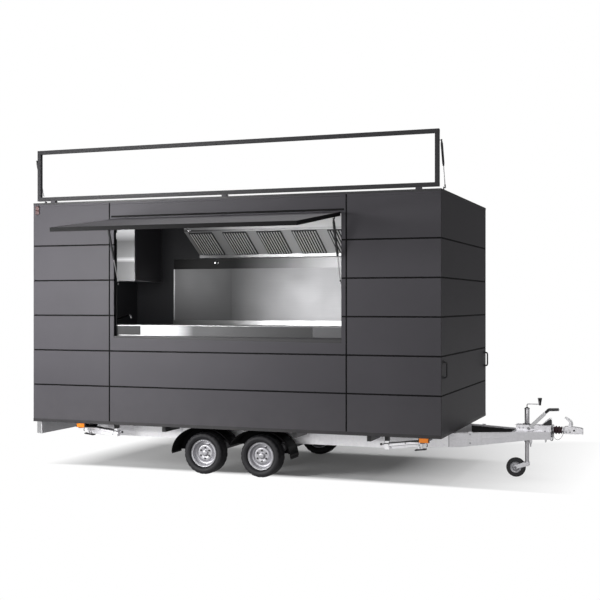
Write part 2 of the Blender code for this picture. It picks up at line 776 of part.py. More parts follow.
def build_sign():
    """The square tube frame that stands on the roof's serving edge."""
    half = X_FRONT - SIGN_END_INSET
    low_z = Z_TOP + SIGN_LIFT
    high_z = low_z + SIGN_HEIGHT
    frame = dress(box("sign_frame", (-half, SIGN_Y - SIGN_TUBE, low_z), (half, SIGN_Y, high_z)), BLACK_METAL)
    hang(frame, (0.0, SIGN_Y, SIGN_Z))
    window = box("sign_window", (-half + SIGN_TUBE, SIGN_Y - 2 * SIGN_TUBE, low_z + SIGN_TUBE),
                 (half - SIGN_TUBE, SIGN_Y + SIGN_TUBE, high_z - SIGN_TUBE), CUTTERS)
    cut(frame, window)
    for number, x in enumerate(sign_hinge_places()):
        tongue = rod("sign_tongue_%d" % number, (x - SIGN_HINGE_HALF / 2, SIGN_Y, SIGN_Z),
                     (x + SIGN_HINGE_HALF / 2, SIGN_Y, SIGN_Z), SIGN_KNUCKLE, 12, CUTTERS)
        join(frame, tongue)
    for side in (-1, 1):
        stud = rod("sign_stud_%d" % side, (side * (half - WELD), SIGN_STRUT_Y, SIGN_STRUT_TOP_Z),
                   (side * (SIGN_STRUT_X - EYE_HALF - SEAT_GAP), SIGN_STRUT_Y, SIGN_STRUT_TOP_Z),
                   STUD_RADIUS, 10, CUTTERS)
        join(frame, stud)


def gas_strut(name, top, foot, closed, radius):
    """A gas strut: its cylinder hangs from the top pin, its rod ends in an eye on the foot pin."""
    top, foot = Vector(top), Vector(foot)
    line = (foot - top).normalized()
    side = Vector((1.0, 0.0, 0.0))
    bore = ROD_RADIUS + SEAT_GAP
    neck = top + line * EYE_RADIUS * 0.8
    end = top + line * closed
    shoulder = top + line * (EYE_RADIUS + STRUT_NECK)
    barrel = dress(rod(name + "_cylinder", shoulder, end, radius, 16), BLACK_METAL)
    hang(barrel, top)
    stem = rod(name + "_stem", neck, shoulder + line * WELD, ROD_RADIUS, 10, CUTTERS)
    eye = rod(name + "_top_eye", top - side * EYE_HALF, top + side * EYE_HALF, EYE_RADIUS, 14, CUTTERS)
    join(barrel, stem, eye)
    foot_of_bore = top + line * (EYE_RADIUS + STRUT_BORE_FOOT)
    mouth = rod(name + "_bore", foot_of_bore, end + line * CUT_PAST, bore, 10, CUTTERS)
    cut(barrel, mouth)
    smooth(barrel)
    start = end - line * ROD_INSIDE
    inner = dress(rod(name + "_rod", start, foot - line * EYE_RADIUS * 0.5, ROD_RADIUS, 10), STAINLESS)
    hang(inner, foot)
    foot_eye = rod(name + "_foot_eye", foot - side * EYE_HALF, foot + side * EYE_HALF, EYE_RADIUS, 14,
                   CUTTERS)
    join(inner, foot_eye)
    smooth(inner)


def flap_point(out, depth):
    """A point of the open flap: out from the hinge along it, depth below its outer face."""
    droop = math.radians(FLAP_DROOP)
    y = -Y_SIDE - out * math.cos(droop) + depth * math.sin(droop)
    z = HATCH_TOP - out * math.sin(droop) - depth * math.cos(droop)
    return y, z


def build_flap():
    """The hatch flap, held open over the counter."""
    low_x, high_x = HATCH_X0 + FLAP_SIDE_GAP, HATCH_X1 - FLAP_SIDE_GAP
    start = FLAP_HEAD_GAP
    outline = [flap_point(start, 0.0), flap_point(FLAP_LENGTH, 0.0),
               flap_point(FLAP_LENGTH, FLAP_THICKNESS), flap_point(start, FLAP_THICKNESS)]
    flap = dress(plate("hatch_flap", outline, low_x, high_x, "YZ"), CLADDING)
    hang(flap, (0.0, -Y_SIDE, HATCH_TOP))
    half = FLAP_KNUCKLE_LENGTH / 2
    for number, x in enumerate(flap_hinge_places()):
        leaf_line = [flap_point(0.0, FLUSH), flap_point(start + FLAP_LEAF_LAP, FLUSH),
                     flap_point(start + FLAP_LEAF_LAP, FLUSH + WELD), flap_point(0.0, FLUSH + WELD)]
        leaf = plate("flap_leaf_%d" % number, leaf_line, x - half, x + half, "YZ", CUTTERS)
        knuckle = rod("flap_knuckle_%d" % number, (x - half, -Y_SIDE, HATCH_TOP),
                      (x + half, -Y_SIDE, HATCH_TOP), FLAP_KNUCKLE, 16, CUTTERS)
        join(flap, leaf, knuckle)
    for word, x, toward in jamb_sides():
        inside = FLAP_THICKNESS - WELD
        past = HATCH_STRUT_DEPTH + FLAP_EAR_PAST
        ear_line = [flap_point(HATCH_STRUT_OUT - FLAP_EAR_FOOT, inside),
                    flap_point(HATCH_STRUT_OUT + FLAP_EAR_FOOT, inside),
                    flap_point(HATCH_STRUT_OUT + FLAP_EAR_TOP, past),
                    flap_point(HATCH_STRUT_OUT - FLAP_EAR_TOP, past)]
        near = x + toward * (STRUT_RADIUS + FLAP_KNUCKLE_GAP)
        low, high = sorted((near, near + toward * EAR * 0.8))
        ear = plate("flap_ear_" + word, ear_line, low, high, "YZ", CUTTERS)
        y, z = flap_point(HATCH_STRUT_OUT, HATCH_STRUT_DEPTH)
        stud = rod("flap_stud_" + word, (x + toward * (EYE_HALF + SEAT_GAP), y, z),
                   (near + toward * WELD / 2, y, z), STUD_RADIUS, 10, CUTTERS)
        join(flap, ear, stud)


def build_struts():
    """The hatch's and the sign frame's gas struts."""
    y, z = flap_point(HATCH_STRUT_OUT, HATCH_STRUT_DEPTH)
    for word, x, toward in jamb_sides():
        gas_strut("hatch_strut_" + word, (x, y, z), (x, -Y_SIDE + HATCH_STRUT_DEPTH, HATCH_STRUT_FOOT_Z),
                  HATCH_STRUT_CLOSED, STRUT_RADIUS)
    for word, side in (("rear", -1), ("front", 1)):
        gas_strut("sign_strut_" + word, (side * SIGN_STRUT_X, SIGN_STRUT_Y, SIGN_STRUT_TOP_Z),
                  (side * SIGN_STRUT_X, SIGN_STRUT_FOOT_Y, SIGN_STRUT_FOOT_Z),
                  SIGN_STRUT_CLOSED, SIGN_STRUT_RADIUS)


def tyre_profile():
    """Half section of the tyre, outboard side first."""
    half = TYRE_WIDTH / 2
    radius = WHEEL_RADIUS
    bead = RIM_SEAT + SEAT_GAP
    lip = RIM_HALF_WIDTH - RIM_LIP - SEAT_GAP
    flange = RIM_FLANGE + RIM_LIP / 3
    side = [(bead, lip), (flange, lip), (flange + RIM_LIP / 2, half * 0.80), (radius * 0.74, half * 0.97),
            (radius * 0.82, half), (radius * 0.91, half * 0.95), (radius * 0.965, half * 0.82),
            (radius * 0.99, half * 0.66), (radius, half * 0.40)]
    return side + [(r, -z) for r, z in reversed(side)]


def rim_profile():
    """Section of the wheel disc and barrel, outboard side first."""
    lip = RIM_HALF_WIDTH
    shelf = lip - RIM_LIP
    well = RIM_SEAT - RIM_LIP
    face = DISC_SEAT + DISC_THICKNESS
    foot = DISC_SEAT - DISC_DISH
    cap = face + HUB_CAP_HEIGHT
    return [(0.0, cap), (HUB_CAP_RADIUS * 0.73, cap), (HUB_CAP_RADIUS * 0.94, cap - DISC_STEP),
            (HUB_CAP_RADIUS, face), (DISC_FLAT, face), (DISC_FLAT + DISC_STEP, face - RIM_LIP),
            (DISC_CROWN, foot + DISC_STEP), (well, foot + DISC_STEP), (well, lip - 2 * DISC_STEP),
            (RIM_FLANGE - RIM_LIP, lip), (RIM_FLANGE, lip - RIM_LIP / 3), (RIM_FLANGE, shelf),
            (RIM_SEAT, shelf), (RIM_SEAT, -shelf), (RIM_FLANGE, -shelf), (RIM_FLANGE, -lip),
            (well, -lip + DISC_STEP), (well, foot), (DISC_CROWN, foot), (DISC_FLAT, DISC_SEAT),
            (0.0, DISC_SEAT)]


def wheel_places():
    """Name, X and side of each wheel."""
    places = []
    for row, x in (("front", X_FRONT_AXLE), ("rear", X_REAR_AXLE)):
        for word, side in (("serving", -1), ("offside", 1)):
            places.append((row + "_" + word, x, side))
    return places


def build_wheels():
    """Four tyres on four deep rims."""
    for word, x, side in wheel_places():
        place = (x, side * Y_WHEEL, WHEEL_RADIUS)
        dress(turned("tyre_" + word, tyre_profile(), place, (0, side, 0), WHEEL_SIDES, True), RUBBER)
        dress(turned("rim_" + word, rim_profile(), place, (0, side, 0), WHEEL_SIDES, True), RIM_STEEL)


def build_axles():
    """Two torsion axles with trailing arms and brake drums."""
    z_beam = FLOOR_UNDERSIDE - RAIL_DEPTH - SEAT_GAP - AXLE_TUBE
    drum_face = Y_WHEEL + DISC_SEAT - DISC_DISH - ARM_CLEAR / 2
    drum_back = drum_face - DRUM_WIDTH
    hub_face = Y_WHEEL + DISC_SEAT - SEAT_GAP
    arm_out = Y_WHEEL - TYRE_WIDTH / 2 - ARM_CLEAR
    arm_in = arm_out - ARM_THICKNESS
    for word, x in (("front", X_FRONT_AXLE), ("rear", X_REAR_AXLE)):
        name = "axle_" + word
        reach = arm_in + WELD
        axle = dress(rod(name, (x + TRAIL, -reach, z_beam), (x + TRAIL, reach, z_beam), AXLE_TUBE, 16),
                     GALVANISED)
        for side in (-1, 1):
            label = "%s_%d" % (name, side)
            half = ARM_HALF
            outline = [(x - half, WHEEL_RADIUS - half), (x + half, WHEEL_RADIUS - half),
                       (x + TRAIL + half, z_beam - half), (x + TRAIL + half, z_beam + half * 0.8),
                       (x + TRAIL - half, z_beam + half), (x - half, WHEEL_RADIUS + half)]
            low, high = sorted((side * arm_in, side * arm_out))
            arm = plate(label + "_arm", outline, low, high, "XZ", CUTTERS)
            stub = rod(label + "_stub", (x, side * (arm_out - WELD), WHEEL_RADIUS),
                       (x, side * (drum_back + WELD), WHEEL_RADIUS), STUB_RADIUS, 16, CUTTERS)
            drum = rod(label + "_drum", (x, side * drum_back, WHEEL_RADIUS),
                       (x, side * drum_face, WHEEL_RADIUS), DRUM_RADIUS, 24, CUTTERS)
            hub = rod(label + "_hub", (x, side * (drum_face - WELD), WHEEL_RADIUS),
                      (x, side * hub_face, WHEEL_RADIUS), HUB_RADIUS, 20, CUTTERS)
            join(axle, arm, stub, drum, hub)
        smooth(axle)


def arch(centre, reach, height, base, first, last, steps):
    """Points on a half ellipse over a wheel, from one angle to another."""
    points = []
    for step in range(steps + 1):
        angle = math.radians(first + (last - first) * step / steps)
        points.append((centre + reach * math.cos(angle), base + height * math.sin(angle)))
    return points


def build_mudguards():
    """The tandem guard over each pair of wheels."""
    top = FLOOR_UNDERSIDE - SEAT_GAP
    height = top - WHEEL_RADIUS
    meet = math.degrees(math.acos(AXLE_SPACING / 2 / GUARD_REACH))
    inner_meet = math.degrees(math.acos(AXLE_SPACING / 2 / (GUARD_REACH - GUARD_THICKNESS)))
    first, last = GUARD_END, 180 - GUARD_END
    outer = arch(X_FRONT_AXLE, GUARD_REACH, height, WHEEL_RADIUS, first, 180 - meet, GUARD_STEPS)
    outer += arch(X_REAR_AXLE, GUARD_REACH, height, WHEEL_RADIUS, meet, last, GUARD_STEPS)[1:]
    reach = GUARD_REACH - GUARD_THICKNESS
    low = height - GUARD_THICKNESS
    inner = arch(X_FRONT_AXLE, reach, low, WHEEL_RADIUS, first, 180 - inner_meet, GUARD_STEPS)
    inner += arch(X_REAR_AXLE, reach, low, WHEEL_RADIUS, inner_meet, last, GUARD_STEPS)[1:]
    outline = outer + list(reversed(inner))
    for word, side in (("serving", -1), ("offside", 1)):
        low, high = sorted((side * (Y_WHEEL - TYRE_WIDTH / 2 - GUARD_IN),
                            side * (Y_WHEEL + TYRE_WIDTH / 2 + GUARD_OUT)))
        smooth(dress(plate("mudguard_" + word, outline, low, high, "XZ"), GUARD_PLASTIC))


RAIL_X0 = X_FRONT - RAIL_REAR_BACK
BEND_X = X_FRONT - RAIL_BEND_BACK
JOINT_X = X_FRONT - DRAWBAR_JOINT_BACK
TIP_X = X_FRONT + DRAWBAR_TIP
LAMP_BAR_X1 = X_REAR - LAMP_BAR_OVERHANG + LAMP_BAR_THICKNESS


def beam_y(x):
    """Outer face of a drawbar beam at an X past the bend."""
    share = (x - BEND_X) / (TIP_X - BEND_X)
    return Y_RAIL + (DRAWBAR_TIP_HALF - Y_RAIL) * share


def steady_places():
    """Name, X of the pivot, side and the way of the foot for each corner steady."""
    places = []
    for row, x, way in (("front", X_FRONT - STEADY_FRONT_BACK, 1), ("rear", X_REAR + STEADY_REAR_BACK, -1)):
        for word, side in (("serving", -1), ("offside", 1)):
            places.append((row + "_" + word, x, side, way))
    return places


def build_chassis():
    """Two deep rails with tails, cross members and the bases of the corner steadies."""
    low_z = FLOOR_UNDERSIDE - RAIL_DEPTH
    frame = None
    for side in (-1, 1):
        inside = Y_RAIL - RAIL_WIDTH
        straight = [(RAIL_X0, side * Y_RAIL), (BEND_X, side * Y_RAIL), (JOINT_X, side * beam_y(JOINT_X)),
                    (JOINT_X, side * (beam_y(JOINT_X) - RAIL_WIDTH)), (BEND_X, side * inside),
                    (RAIL_X0, side * inside)]
        group = PARTS if frame is None else CUTTERS
        name = "chassis_frame" if frame is None else "second_rail"
        rail = plate(name, straight, low_z, Z_RAIL, group=group)
        if frame is None:
            frame = dress(rail, GALVANISED)
        else:
            join(frame, rail)
        low, high = sorted((side * (Y_RAIL - RAIL_WALL), side * (inside + RAIL_WALL)))
        tail = box("rail_tail_%d" % side, (LAMP_BAR_X1 + SEAT_GAP, low, FLOOR_UNDERSIDE - RAIL_TAIL_DEPTH),
                   (RAIL_X0 + RAIL_LAP, high, Z_RAIL - FLUSH), CUTTERS)
        join(frame, tail)
    reach = Y_SIDE - CROSS_END_INSET
    inner = Y_RAIL - RAIL_LAP
    low = FLOOR_UNDERSIDE - CROSS_DEPTH
    gap = GUARD_REACH + CROSS_GUARD_CLEARANCE
    between = (X_FRONT_AXLE + X_REAR_AXLE) / 2 + CROSS_MIDDLE_AHEAD
    members = [(X_REAR + CROSS_REAR_AHEAD, reach), (X_REAR_AXLE - gap, reach), (between, inner),
               (X_FRONT_AXLE + gap, reach), (BEND_X - CROSS_BEND_BACK, reach),
               (X_FRONT - CROSS_FRONT_BACK, reach)]
    for number, (x, half) in enumerate(members):
        member = box("cross_member_%d" % number, (x - CROSS_WIDTH / 2, -half, low),
                     (x + CROSS_WIDTH / 2, half, Z_RAIL - 2 * FLUSH), CUTTERS)
        join(frame, member)
    for word, x, side, way in steady_places():
        base = steady_base(word, x, side, way)
        join(frame, base)


def steady_base(word, x, side, way):
    """The channel that a corner steady folds up to, hung from two cross members."""
    y = side * (Y_SIDE - STEADY_INSET)
    rise = math.tan(math.radians(STEADY_RISE))
    bottom = STEADY_AXIS_Z + STEADY_THICKNESS / 2 + STEADY_BASE_CLEARANCE
    near, far = -STEADY_BASE_LAP, STEADY_LENGTH + STEADY_BASE_LAP
    outline = [(x + way * near, bottom + near * rise), (x + way * far, bottom + far * rise),
               (x + way * far, bottom + far * rise + STEADY_BASE),
               (x + way * near, bottom + near * rise + STEADY_BASE)]
    half = STEADY_WIDTH / 2 + STEADY_BASE_SIDE
    base = plate("steady_base_" + word, outline, y - half, y + half, "XZ", CUTTERS)
    ear_top = bottom + STEADY_BASE * 0.6
    posts = []
    for number, lean in enumerate((-1, 1)):
        low, high = sorted((y + lean * (STEADY_WIDTH / 2 + STEADY_EAR_CLEARANCE), y + lean * half))
        posts.append(box("steady_ear_%s_%d" % (word, number),
                         (x - STEADY_EAR_HALF, low, STEADY_AXIS_Z - STEADY_EAR_FOOT),
                         (x + STEADY_EAR_HALF, high, ear_top), CUTTERS))
    hanger = box("steady_hanger_" + word, (x - STEADY_HANGER_HALF, y - half * 0.8, bottom + WELD),
                 (x + STEADY_HANGER_HALF, y + half * 0.8, Z_RAIL - WELD / 2), CUTTERS)
    join(base, *posts)
    join(base, hanger)
    return base


def build_steadies():
    """Four folding legs, raised against their bases."""
    rise = math.radians(STEADY_RISE)
    for word, x, side, way in steady_places():
        y = side * (Y_SIDE - STEADY_INSET)
        half = STEADY_THICKNESS / 2

        def leg_point(out, up):
            """A point of the leg: out along it from its pivot, and up across it."""
            return (x + way * (out * math.cos(rise) - up * math.sin(rise)),
                    STEADY_AXIS_Z + out * math.sin(rise) + up * math.cos(rise))

        outline = [leg_point(-half, -half), leg_point(STEADY_LENGTH, -half), leg_point(STEADY_LENGTH, half),
                   leg_point(-half, half)]
        width = STEADY_WIDTH / 2
        leg = dress(plate("steady_" + word, outline, y - width, y + width, "XZ"), GALVANISED)
        hang(leg, (x, y, STEADY_AXIS_Z))
        reach = width + STEADY_EAR_CLEARANCE - FLUSH
        pin = rod("steady_pin_" + word, (x, y - reach, STEADY_AXIS_Z), (x, y + reach, STEADY_AXIS_Z),
                  STEADY_PIN_RADIUS, 12, CUTTERS)
        back, front = STEADY_LENGTH - STEADY_NECK_BACK, STEADY_LENGTH - WELD
        neck_line = [leg_point(back, -FOOT_DROP), leg_point(front, -FOOT_DROP), leg_point(front, 0.0),
                     leg_point(back, 0.0)]
        neck = plate("steady_neck_" + word, neck_line, y - width * 0.6, y + width * 0.6, "XZ", CUTTERS)
        back, front = STEADY_LENGTH - PAD_REAR, STEADY_LENGTH + PAD_FRONT
        top = -FOOT_DROP + FLUSH
        pad_line = [leg_point(back, top - PAD_THICKNESS), leg_point(front, top - PAD_THICKNESS),
                    leg_point(front, top), leg_point(back, top)]
        pad = plate("steady_pad_" + word, pad_line, y - width * 1.3, y + width * 1.3, "XZ", CUTTERS)
        join(leg, pin, neck, pad)


def build_drawbar():
    """The two tapered beams of the drawbar under one plate."""
    high_z = FLOOR_UNDERSIDE - DRAWBAR_DROP
    low_z = FLOOR_UNDERSIDE - RAIL_DEPTH
    tip_z = high_z - DRAWBAR_TIP_DEPTH
    knee = X_FRONT + DRAWBAR_KNEE
    start = JOINT_X + SEAT_GAP
    past = 5 * CUT_PAST
    bar = None
    for side in (-1, 1):
        outline = [(start, side * beam_y(start)), (TIP_X, side * beam_y(TIP_X)),
                   (TIP_X, side * (beam_y(TIP_X) - DRAWBAR_TIP_WIDTH)),
                   (start, side * (beam_y(start) - RAIL_WIDTH))]
        group = PARTS if bar is None else CUTTERS
        name = "drawbar" if bar is None else "second_beam"
        beam = plate(name, outline, low_z, high_z, group=group)
        ahead = start + DRAWBAR_TAPER_BACK
        dip = past * (tip_z - low_z) / (knee - ahead)
        taper = plate("beam_taper_%d" % side,
                      [(ahead - past, low_z - dip), (knee, tip_z), (TIP_X + past, tip_z),
                       (TIP_X + past, low_z - 2 * past), (ahead - past, low_z - 2 * past)],
                      -Y_SIDE, Y_SIDE, "XZ", CUTTERS)
        cut(beam, taper)
        if bar is None:
            bar = dress(beam, GALVANISED)
        else:
            join(bar, beam)
    rear = X_FRONT + HOUSING_REAR - DECK_BACK
    lip = DECK_LIP
    deck = plate("drawbar_deck", [(rear, -beam_y(rear) + lip), (TIP_X - lip, -beam_y(TIP_X) + lip),
                                  (TIP_X - lip, beam_y(TIP_X) - lip), (rear, beam_y(rear) - lip)],
                 high_z - PLATE_THICKNESS / 2, high_z + PLATE_THICKNESS / 2, group=CUTTERS)
    join(bar, deck)
    x = X_FRONT + JOCKEY_AHEAD
    bore = JOCKEY_TUBE + SEAT_GAP
    cut(bar, rod("deck_hole", (x, 0, high_z - past), (x, 0, high_z + past), bore, 20, CUTTERS))
    bolt_x = X_FRONT + BOSS_BACK
    bolt_y = -beam_y(bolt_x) + BOSS_INSET
    boss = rod("bolt_boss", (bolt_x, bolt_y, tip_z - BOSS_HALF), (bolt_x, bolt_y, tip_z + BOSS_HALF),
               BOSS_RADIUS, 12, CUTTERS)
    cone = rod("bolt_cone", (bolt_x, bolt_y, tip_z - BOSS_CONE_FOOT),
               (bolt_x, bolt_y, tip_z - BOSS_HALF + WELD), WELD, 12, CUTTERS, BOSS_CONE_RADIUS)
    join(bar, boss, cone)


def build_coupling():
    """The overrun housing, bellows, coupling head, handbrake lever and brake rod."""
    low_z = FLOOR_UNDERSIDE - DRAWBAR_DROP + PLATE_THICKNESS / 2 + SEAT_GAP
    high_z = low_z + HOUSING_HEIGHT
    x0, x1 = X_FRONT + HOUSING_REAR, X_FRONT + HOUSING_FRONT
    housing = box("overrun_housing", (x0, -HOUSING_HALF, low_z), (x1 - END_PLATE, HOUSING_HALF, high_z))
    dress(housing, GALVANISED)
    wide = HOUSING_HALF + END_PLATE_LIP
    end_plate = box("housing_end_plate", (x1 - END_PLATE - WELD, -wide, low_z + FLUSH),
                    (x1, wide, high_z + WELD), CUTTERS)
    narrow = HOUSING_HALF - END_PLATE_LIP / 2
    drop = box("housing_end_drop", (TIP_X + SEAT_GAP, -narrow, low_z - END_PLATE_DROP),
               (x1 - WELD / 2, narrow, low_z + END_PLATE), CUTTERS)
    sector_line = [(x1 - SECTOR_REAR, high_z - WELD), (x1 - SECTOR_PEAK, high_z + SECTOR_HEIGHT),
                   (x1 - SECTOR_PEAK + SECTOR_NOSE, high_z + SECTOR_HEIGHT - WELD),
                   (x1 - SECTOR_PEAK + WELD, high_z - WELD)]
    sector = plate("brake_sector", sector_line, SECTOR_THICKNESS, 2 * SECTOR_THICKNESS, "XZ", CUTTERS)
    join(housing, end_plate, drop, sector)
    jx = X_FRONT + JOCKEY_AHEAD
    past = 5 * CUT_PAST
    cut(housing, rod("housing_bore", (jx, 0, low_z - past), (jx, 0, high_z + past),
                     JOCKEY_TUBE + SEAT_GAP, 20, CUTTERS))

    bellows_foot = x1 + SEAT_GAP
    bore = SHAFT_RADIUS + SEAT_GAP
    outer = [(BELLOWS_RIDGE - WELD, 0.0)]
    step = BELLOWS_LENGTH / BELLOWS_FOLDS
    for fold in range(BELLOWS_FOLDS):
        outer += [(BELLOWS_RIDGE - BELLOWS_TAPER * fold, step * (fold + 0.35)),
                  (BELLOWS_VALLEY, step * (fold + 0.92))]
    outer.append((BELLOWS_VALLEY, BELLOWS_LENGTH))
    profile = list(reversed(outer)) + [(bore, 0.0), (bore, BELLOWS_LENGTH)]
    bellows = turned("bellows", profile, (bellows_foot, 0, COUPLING_Z), (1, 0, 0), 20)
    dress(bellows, RUBBER)

    tip = X_FRONT + COUPLING_TIP
    head_x = tip - HEAD_LENGTH
    z = COUPLING_Z
    head = rod("coupling_head", (bellows_foot, 0, z), (head_x + SHAFT_LAP, 0, z), SHAFT_RADIUS, 20)
    dress(head, GALVANISED)
    side_line = [(head_x + along, z + up) for along, up in HEAD_SIDE]
    shell = plate("head_shell", side_line, -HEAD_HALF, HEAD_HALF, "XZ", CUTTERS)
    cup_x = tip - CUP_BACK
    cup = rod("head_cup", (cup_x, 0, z - past), (cup_x, 0, z - CUP_CROWN), CUP_RADIUS, 20, CUTTERS)
    cut(shell, cup)
    join(head, shell)
    handle_line = [(head_x + along, z + up) for along, up in HEAD_HANDLE]
    join(head, plate("head_handle", handle_line, -HANDLE_HALF, HANDLE_HALF, "XZ", CUTTERS))

    y = -HOUSING_HALF - SEAT_GAP
    px, pz = X_FRONT + LEVER_PIVOT, low_z + LEVER_PIVOT_LIFT
    elbow_x, elbow_z = X_FRONT + LEVER_ELBOW, pz + LEVER_RISE
    lever_y = y - LEVER_OUT
    lever_points = [(px, lever_y, pz), (elbow_x, lever_y, elbow_z),
                    (elbow_x + GRIP_RUN, lever_y, elbow_z + GRIP_RISE),
                    (X_FRONT + GRIP_END, lever_y, elbow_z + GRIP_RISE + GRIP_TIP_RISE)]
    lever = dress(tube("handbrake_lever", lever_points, LEVER_RADIUS), BLACK_METAL)
    hub = rod("lever_hub", (px, y, pz), (px, y - 2 * LEVER_OUT, pz), LEVER_HUB_RADIUS, 16, CUTTERS)
    grip = tube("lever_grip", lever_points[1:], GRIP_RADIUS, CUTTERS)
    join(lever, hub, grip)

    rod_front_z = low_z - END_PLATE_DROP - BRAKE_ROD_RADIUS - SEAT_GAP
    rod_rear_z = FLOOR_UNDERSIDE - RAIL_DEPTH + BRAKE_ROD_RADIUS
    points = [(X_FRONT_AXLE + TRAIL, BRAKE_ROD_Y, rod_rear_z),
              (x1 - END_PLATE * 0.2, BRAKE_ROD_Y / 2, rod_front_z)]
    dress(tube("brake_rod", points, BRAKE_ROD_RADIUS), GALVANISED)


def build_jockey():
    """The jockey wheel: outer tube with its crank, inner tube, fork and wheel."""
    x = X_FRONT + JOCKEY_AHEAD
    bore = JOCKEY_INNER + SEAT_GAP
    shell = rod("jockey_tube", (x, 0, JOCKEY_TUBE_FOOT), (x, 0, JOCKEY_TOP), JOCKEY_TUBE, 20)
    dress(shell, GALVANISED)
    cut(shell, rod("jockey_bore", (x, 0, JOCKEY_TUBE_FOOT - 5 * CUT_PAST), (x, 0, JOCKEY_TOP - JOCKEY_LID),
                   bore, 20, CUTTERS))
    crank_z = JOCKEY_TOP + CRANK_LIFT
    crank_line = [(x, 0, JOCKEY_TOP - WELD), (x, 0, crank_z - CRANK_BEND),
                  (x + CRANK_BEND, 0, crank_z), (x + CRANK_REACH, 0, crank_z)]
    crank = tube("jockey_crank", crank_line, CRANK_RADIUS, CUTTERS)
    knob_x = x + CRANK_REACH - WELD
    knob = rod("jockey_knob", (knob_x, 0, crank_z - CRANK_BEND), (knob_x, 0, crank_z + KNOB_HEIGHT),
               KNOB_FOOT, 14, CUTTERS, KNOB_TOP)
    join(crank, knob)
    join(shell, crank)
    smooth(shell)

    fork_z = FORK_TOP - JOCKEY_LID
    leg_top = JOCKEY_TOP - JOCKEY_LEG_SHORT
    inner = rod("jockey_leg", (x, 0, FORK_TOP + SEAT_GAP), (x, 0, leg_top), JOCKEY_INNER, 20)
    dress(inner, STAINLESS)
    hang(inner, (x, 0, FORK_TOP))
    smooth(inner)

    wheel_x = x - JOCKEY_TRAIL
    half = JOCKEY_WIDTH / 2 + FORK_CLEARANCE
    crown = dress(rod("jockey_fork", (x, 0, fork_z - FLUSH), (x, 0, FORK_TOP), JOCKEY_TUBE, 20), GALVANISED)
    hang(crown, (x, 0, FORK_TOP))
    ahead, behind = x + FORK_AHEAD, wheel_x - FORK_END
    arm_line = [(ahead, fork_z - FORK_SKIRT), (ahead, fork_z + WELD), (x - FORK_SKIRT, fork_z + WELD),
                (behind, JOCKEY_RADIUS + FORK_END), (behind, JOCKEY_RADIUS - FORK_END),
                (wheel_x + WELD, JOCKEY_RADIUS - FORK_END)]
    for number, side in enumerate((-1, 1)):
        low, high = sorted((side * half, side * (half + FORK_PLATE)))
        join(crown, plate("fork_arm_%d" % number, arm_line, low, high, "XZ", CUTTERS))
    wide = half + FORK_PLATE
    bridge = box("fork_bridge", (x - WELD, -wide, fork_z - FORK_SKIRT), (ahead - FLUSH, wide, fork_z),
                 CUTTERS)
    pin = rod("fork_pin", (wheel_x, -half - FLUSH, JOCKEY_RADIUS), (wheel_x, half + FLUSH, JOCKEY_RADIUS),
              FORK_PIN_RADIUS, 12, CUTTERS)
    join(crown, bridge, pin)

    half = JOCKEY_WIDTH / 2
    boss, tread = JOCKEY_RADIUS * 0.30, JOCKEY_RADIUS * 0.70
    profile = [(FORK_PIN_RADIUS + SEAT_GAP, half * 0.9), (boss, half * 0.9), (boss + WELD, half * 0.5),
               (tread - WELD, half * 0.5), (tread, half * 0.8),
               (JOCKEY_RADIUS * 0.90, half), (JOCKEY_RADIUS * 0.98, half * 0.7),
               (JOCKEY_RADIUS, half * 0.3)]
    profile += [(r, -z) for r, z in reversed(profile)]
    dress(turned("jockey_wheel", profile, (wheel_x, 0, JOCKEY_RADIUS), (0, -1, 0), 20, True), RUBBER)


def build_lamps():
    """The rear lamp bar and the four side lamps."""
    low_z = FLOOR_UNDERSIDE - SEAT_GAP - LAMP_BAR_DEPTH
    reach = Y_SIDE - LAMP_BAR_INSET
    x0 = X_REAR - LAMP_BAR_OVERHANG
    high_z = FLOOR_UNDERSIDE - SEAT_GAP
    bar = dress(box("rear_lamp_bar", (x0, -reach, low_z), (LAMP_BAR_X1, reach, high_z)), GALVANISED)
    for side in (-1, 1):
        far = reach - REAR_LAMP_INSET
        low, high = sorted((side * far, side * (far - REAR_LAMP_LENGTH)))
        join(bar, box("rear_lamp_%d" % side, (x0 - REAR_LAMP_DEPTH, low, low_z + REAR_LAMP_INSET),
                      (x0 + WELD, high, high_z - REAR_LAMP_INSET - WELD), CUTTERS))
    for row, back in (("front", SIDE_LAMP_FRONT_BACK), ("rear", SIDE_LAMP_REAR_BACK)):
        x = X_FRONT - back
        for word, side in (("serving", -1), ("offside", 1)):
            face = Y_SIDE - SIDE_LAMP_INSET
            low, high = sorted((side * face, side * (face - SIDE_LAMP_DEPTH)))
            half = SIDE_LAMP_LENGTH / 2
            dress(box("side_lamp_%s_%s" % (row, word), (x - half, low, high_z - SIDE_LAMP_HEIGHT),
                      (x + half, high, high_z)), AMBER)


def build_handles():
    """Four upright grab handles on the end walls."""
    half = HANDLE_HEIGHT / 2
    for row, end in (("front", 1), ("rear", -1)):
        for word, side in (("serving", -1), ("offside", 1)):
            wall = end * X_FRONT
            y = side * (Y_SIDE - HANDLE_INSET)
            near = wall + end * SEAT_GAP
            out = wall + end * (HANDLE_REACH - HANDLE_RADIUS)
            turn = end * HANDLE_BEND
            rise = [(near, half), (out - turn, half), (out - turn * 0.3, half - HANDLE_BEND * 0.3),
                    (out, half - HANDLE_BEND)]
            points = [(x, y, HANDLE_Z - up) for x, up in rise]
            points += [(x, y, HANDLE_Z + up) for x, up in reversed(rise)]
            smooth(dress(tube("grab_handle_%s_%s" % (row, word), points, HANDLE_RADIUS), BLACK_METAL))


INSIDE_X0 = X_REAR + WALL + SEAT_GAP
INSIDE_X1 = X_FRONT - WALL - SEAT_GAP
INSIDE_Y = Y_SIDE - WALL - SEAT_GAP


